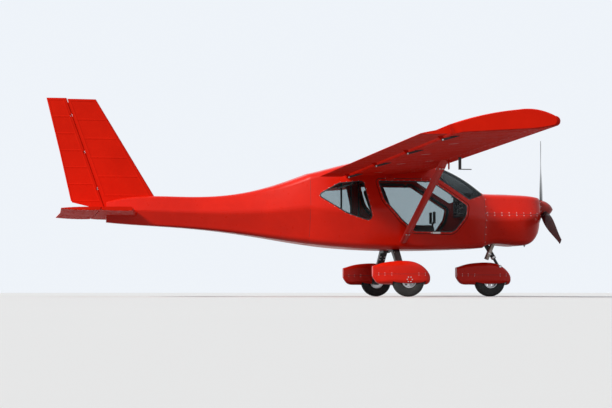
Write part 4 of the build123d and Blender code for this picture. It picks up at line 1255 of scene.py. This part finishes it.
def dials():
    """Round instruments: bezels, faces, scales, needles and glasses."""
    bezels = begin("dial_bezels", *RUBBER)
    faces = begin("dial_faces", *DIAL_FACE)
    scales = begin("dial_scales", *DIAL_PAINT)
    glass = begin("dial_glasses", "clear_glass")
    for number, (y, z, radius) in enumerate(DIALS):
        middle = Vector((PANEL_X, y, z))
        lathe(bezels, [(radius, -0.002), (radius, 0.006), (radius - 0.003, 0.009), (radius - 0.006, 0.008),
                       (radius - 0.0065, 0.001)], middle, BACK, 40, ring=True)
        for a, b in circle(radius + 0.001, 4):
            screw(bezels, middle + Vector((0, (a + b) * 0.8, (a - b) * 0.8)), BACK, 0.0026)
        lathe(faces, [(radius - 0.006, -0.001), (radius - 0.006, 0.0018)], middle, BACK, 40)
        for tick in range(TICKS):
            spoke = arm(UP, -PORT, math.radians(TICK_START + TICK_TURN * tick))
            inner = radius * (0.58 if tick % 4 == 0 else 0.68)
            start, end = (middle + spoke * reach + BACK * 0.0021 for reach in (inner, radius - 0.009))
            rod(scales, start, end, 0.0007, 4)
        spoke = arm(UP, -PORT, math.radians(NEEDLE_START + NEEDLE_TURN * number))
        tip = [(middle + spoke * reach + BACK * 0.0042, BACK) for reach in (-radius * 0.15, 0, radius * 0.62)]
        sweep(scales, tip, [(-0.0013, 0), (0, 0.0008), (0.0013, 0)])
        lathe(scales, [(0.0034, 0.0018), (0.0034, 0.0052), (0.002, 0.006)], middle, BACK)
        lathe(glass, [(radius - 0.0062, 0.0066), (radius - 0.0062, 0.0074)], middle, BACK, 40)


def panel_controls():
    """Radio boxes, a row of switches, two push-pull levers and the padded shelf edge."""
    boxes = begin("radio_boxes", "panel_black")
    metal = begin("panel_switches", *STEEL)
    roll = begin("panel_shelf_roll", *RUBBER)
    for z, half_height in ((1.185, 0.021), (1.136, 0.021), (1.088, 0.02)):
        outline = [(a * 0.78, b) for a, b in rounded(0.078, half_height, 0.004, 4)]
        plate(boxes, outline, [], 0.012, (PANEL_X + 0.002, -0.01, z), PORT, UP, BACK)
        for y in (-0.06, 0.04):
            lathe(metal, [(0.0075, 0), (0.0072, 0.01), (0.006, 0.0115)], (PANEL_X - 0.01, y, z), BACK)
    for y in spread(0.13, 0.33, 8):
        collar = [(0.006, 0), (0.006, 0.003), (0.0035, 0.004), (0.003, 0.008)]
        lathe(metal, collar, (PANEL_X, y, SWITCH_HEIGHT), BACK, 12)
        rod(metal, (PANEL_X - 0.006, y, SWITCH_HEIGHT), (PANEL_X - 0.02, y, SWITCH_HEIGHT + 0.007), 0.0022, 8)
    for y in (-0.025, 0.03):
        rod(metal, (PANEL_X, y, LEVER_HEIGHT), (PANEL_X - 0.075, y, LEVER_HEIGHT), 0.0035)
        knob = [(0.008, 0), (0.015, 0.008), (0.017, 0.018), (0.013, 0.028), (0.005, 0.032)]
        lathe(boxes, knob, (PANEL_X - 0.07, y, LEVER_HEIGHT), BACK, 24)
    sweep(roll, [(Vector((at(1.19), y, 1.247)), UP) for y in spread(-0.36, 0.36, 12)], circle(0.011, 12))


def stick_grips():
    """Ribbed grips with a button on the two stick ends, and ribbed pedal pads."""
    grips = begin("grips_and_pads", *RUBBER)
    profile = [(0.0142, 0.0), (0.0175, 0.004)]
    for number in range(GRIP_RIBS):
        low = 0.01 + number * GRIP_PITCH
        profile += [(0.0182, low), (0.0182, low + 0.008), (0.016, low + 0.01), (0.016, low + 0.014)]
    profile += [(0.019, 0.124), (0.018, 0.134), (0.012, 0.138)]
    for y in (-0.09, 0.09):
        lathe(grips, profile, (at(1.54), y, STICK_TOP), UP, 28)
    x = at(1.0885)
    for y in (-0.3, -0.14, 0.14, 0.3):
        for z in spread(0.772, 0.848, 6):
            rod(grips, (x, y - 0.036, z), (x, y + 0.036, z), 0.0036, 8)


dials()
panel_controls()
stick_grips()


for row in BEGUN:
    new_piece(*row)


# Floor, lights and camera


def seen_directly(tree):
    """A factor that is 1 for camera, mirror and glass rays."""
    path = tree.nodes.new("ShaderNodeLightPath")
    total = path.outputs["Is Camera Ray"]
    for other in ("Is Glossy Ray", "Is Transmission Ray"):
        most = tree.nodes.new("ShaderNodeMath")
        most.operation = "MAXIMUM"
        tree.links.new(total, most.inputs[0])
        tree.links.new(path.outputs[other], most.inputs[1])
        total = most.outputs[0]
    return total


def floor():
    """A pale floor that looks white to the camera and still takes the shadow."""
    bpy.ops.mesh.primitive_plane_add(size=400, location=(0, 0, 0))
    ground = bpy.context.object
    ground.name = "floor"
    finish = Finish("pale_floor", (0.8, 0.81, 0.82), 0.9)
    finish.stain((0.77, 0.78, 0.79), 0.4, 3, 0.2, 0.4)
    # Seen by the eye the floor is pale, and it throws less light up under the wings
    dim = finish.node("ShaderNodeBsdfDiffuse", Color=(0.23, 0.22, 0.2, 1))
    mix_shaders(finish.tree, seen_directly(finish.tree), dim, finish.shader, finish.output)
    ground.data.materials.append(finish.material)


def world():
    """A soft sky that lights the aircraft, and a paler one that the eye and mirrors see."""
    made = bpy.data.worlds.new("studio")
    bpy.context.scene.world = made
    made.use_nodes = True
    tree = made.node_tree
    tree.nodes.clear()
    output = tree.nodes.new("ShaderNodeOutputWorld")
    shades = []
    for colour, strength in (((0.92, 0.95, 1.0, 1), 0.4), ((0.86, 0.9, 0.95, 1), 1.0)):
        shade = tree.nodes.new("ShaderNodeBackground")
        shade.inputs["Color"].default_value = colour
        shade.inputs["Strength"].default_value = strength
        shades.append(shade)
    mix_shaders(tree, seen_directly(tree), *shades, output)


def camera():
    """The photograph's angle: from the starboard rear quarter, with the camera at floor level."""
    azimuth, distance, height = math.radians(-10), 20.0, 0.05
    frame_width_there = 7.4
    aim = Vector((0.0, 0.0, 1.12))
    data = bpy.data.cameras.new("camera")
    data.sensor_width = 36
    data.lens = data.sensor_width * distance / frame_width_there
    lens = add_object("camera", data)
    lens.location = Vector((distance * math.sin(azimuth), -distance * math.cos(azimuth), height))
    lens.rotation_euler = (aim - lens.location).to_track_quat("-Z", "Y").to_euler()
    bpy.context.scene.camera = lens


def sun(name, direction, strength, angle, colour):
    """A far lamp with a wide disc, shining from a direction."""
    data = bpy.data.lights.new(name, "SUN")
    data.energy = strength
    data.angle = math.radians(angle)
    data.color = colour
    add_object(name, data).rotation_euler = Vector(direction).to_track_quat("Z", "Y").to_euler()


floor()
world()
sun("key", (-0.86, -0.46, 0.62), 3.4, 12, (1.0, 0.96, 0.9))
sun("fill", (0.8, -0.7, 0.35), 0.12, 60, (0.93, 0.96, 1.0))
camera()
bpy.context.scene.view_settings.view_transform = "Standard"
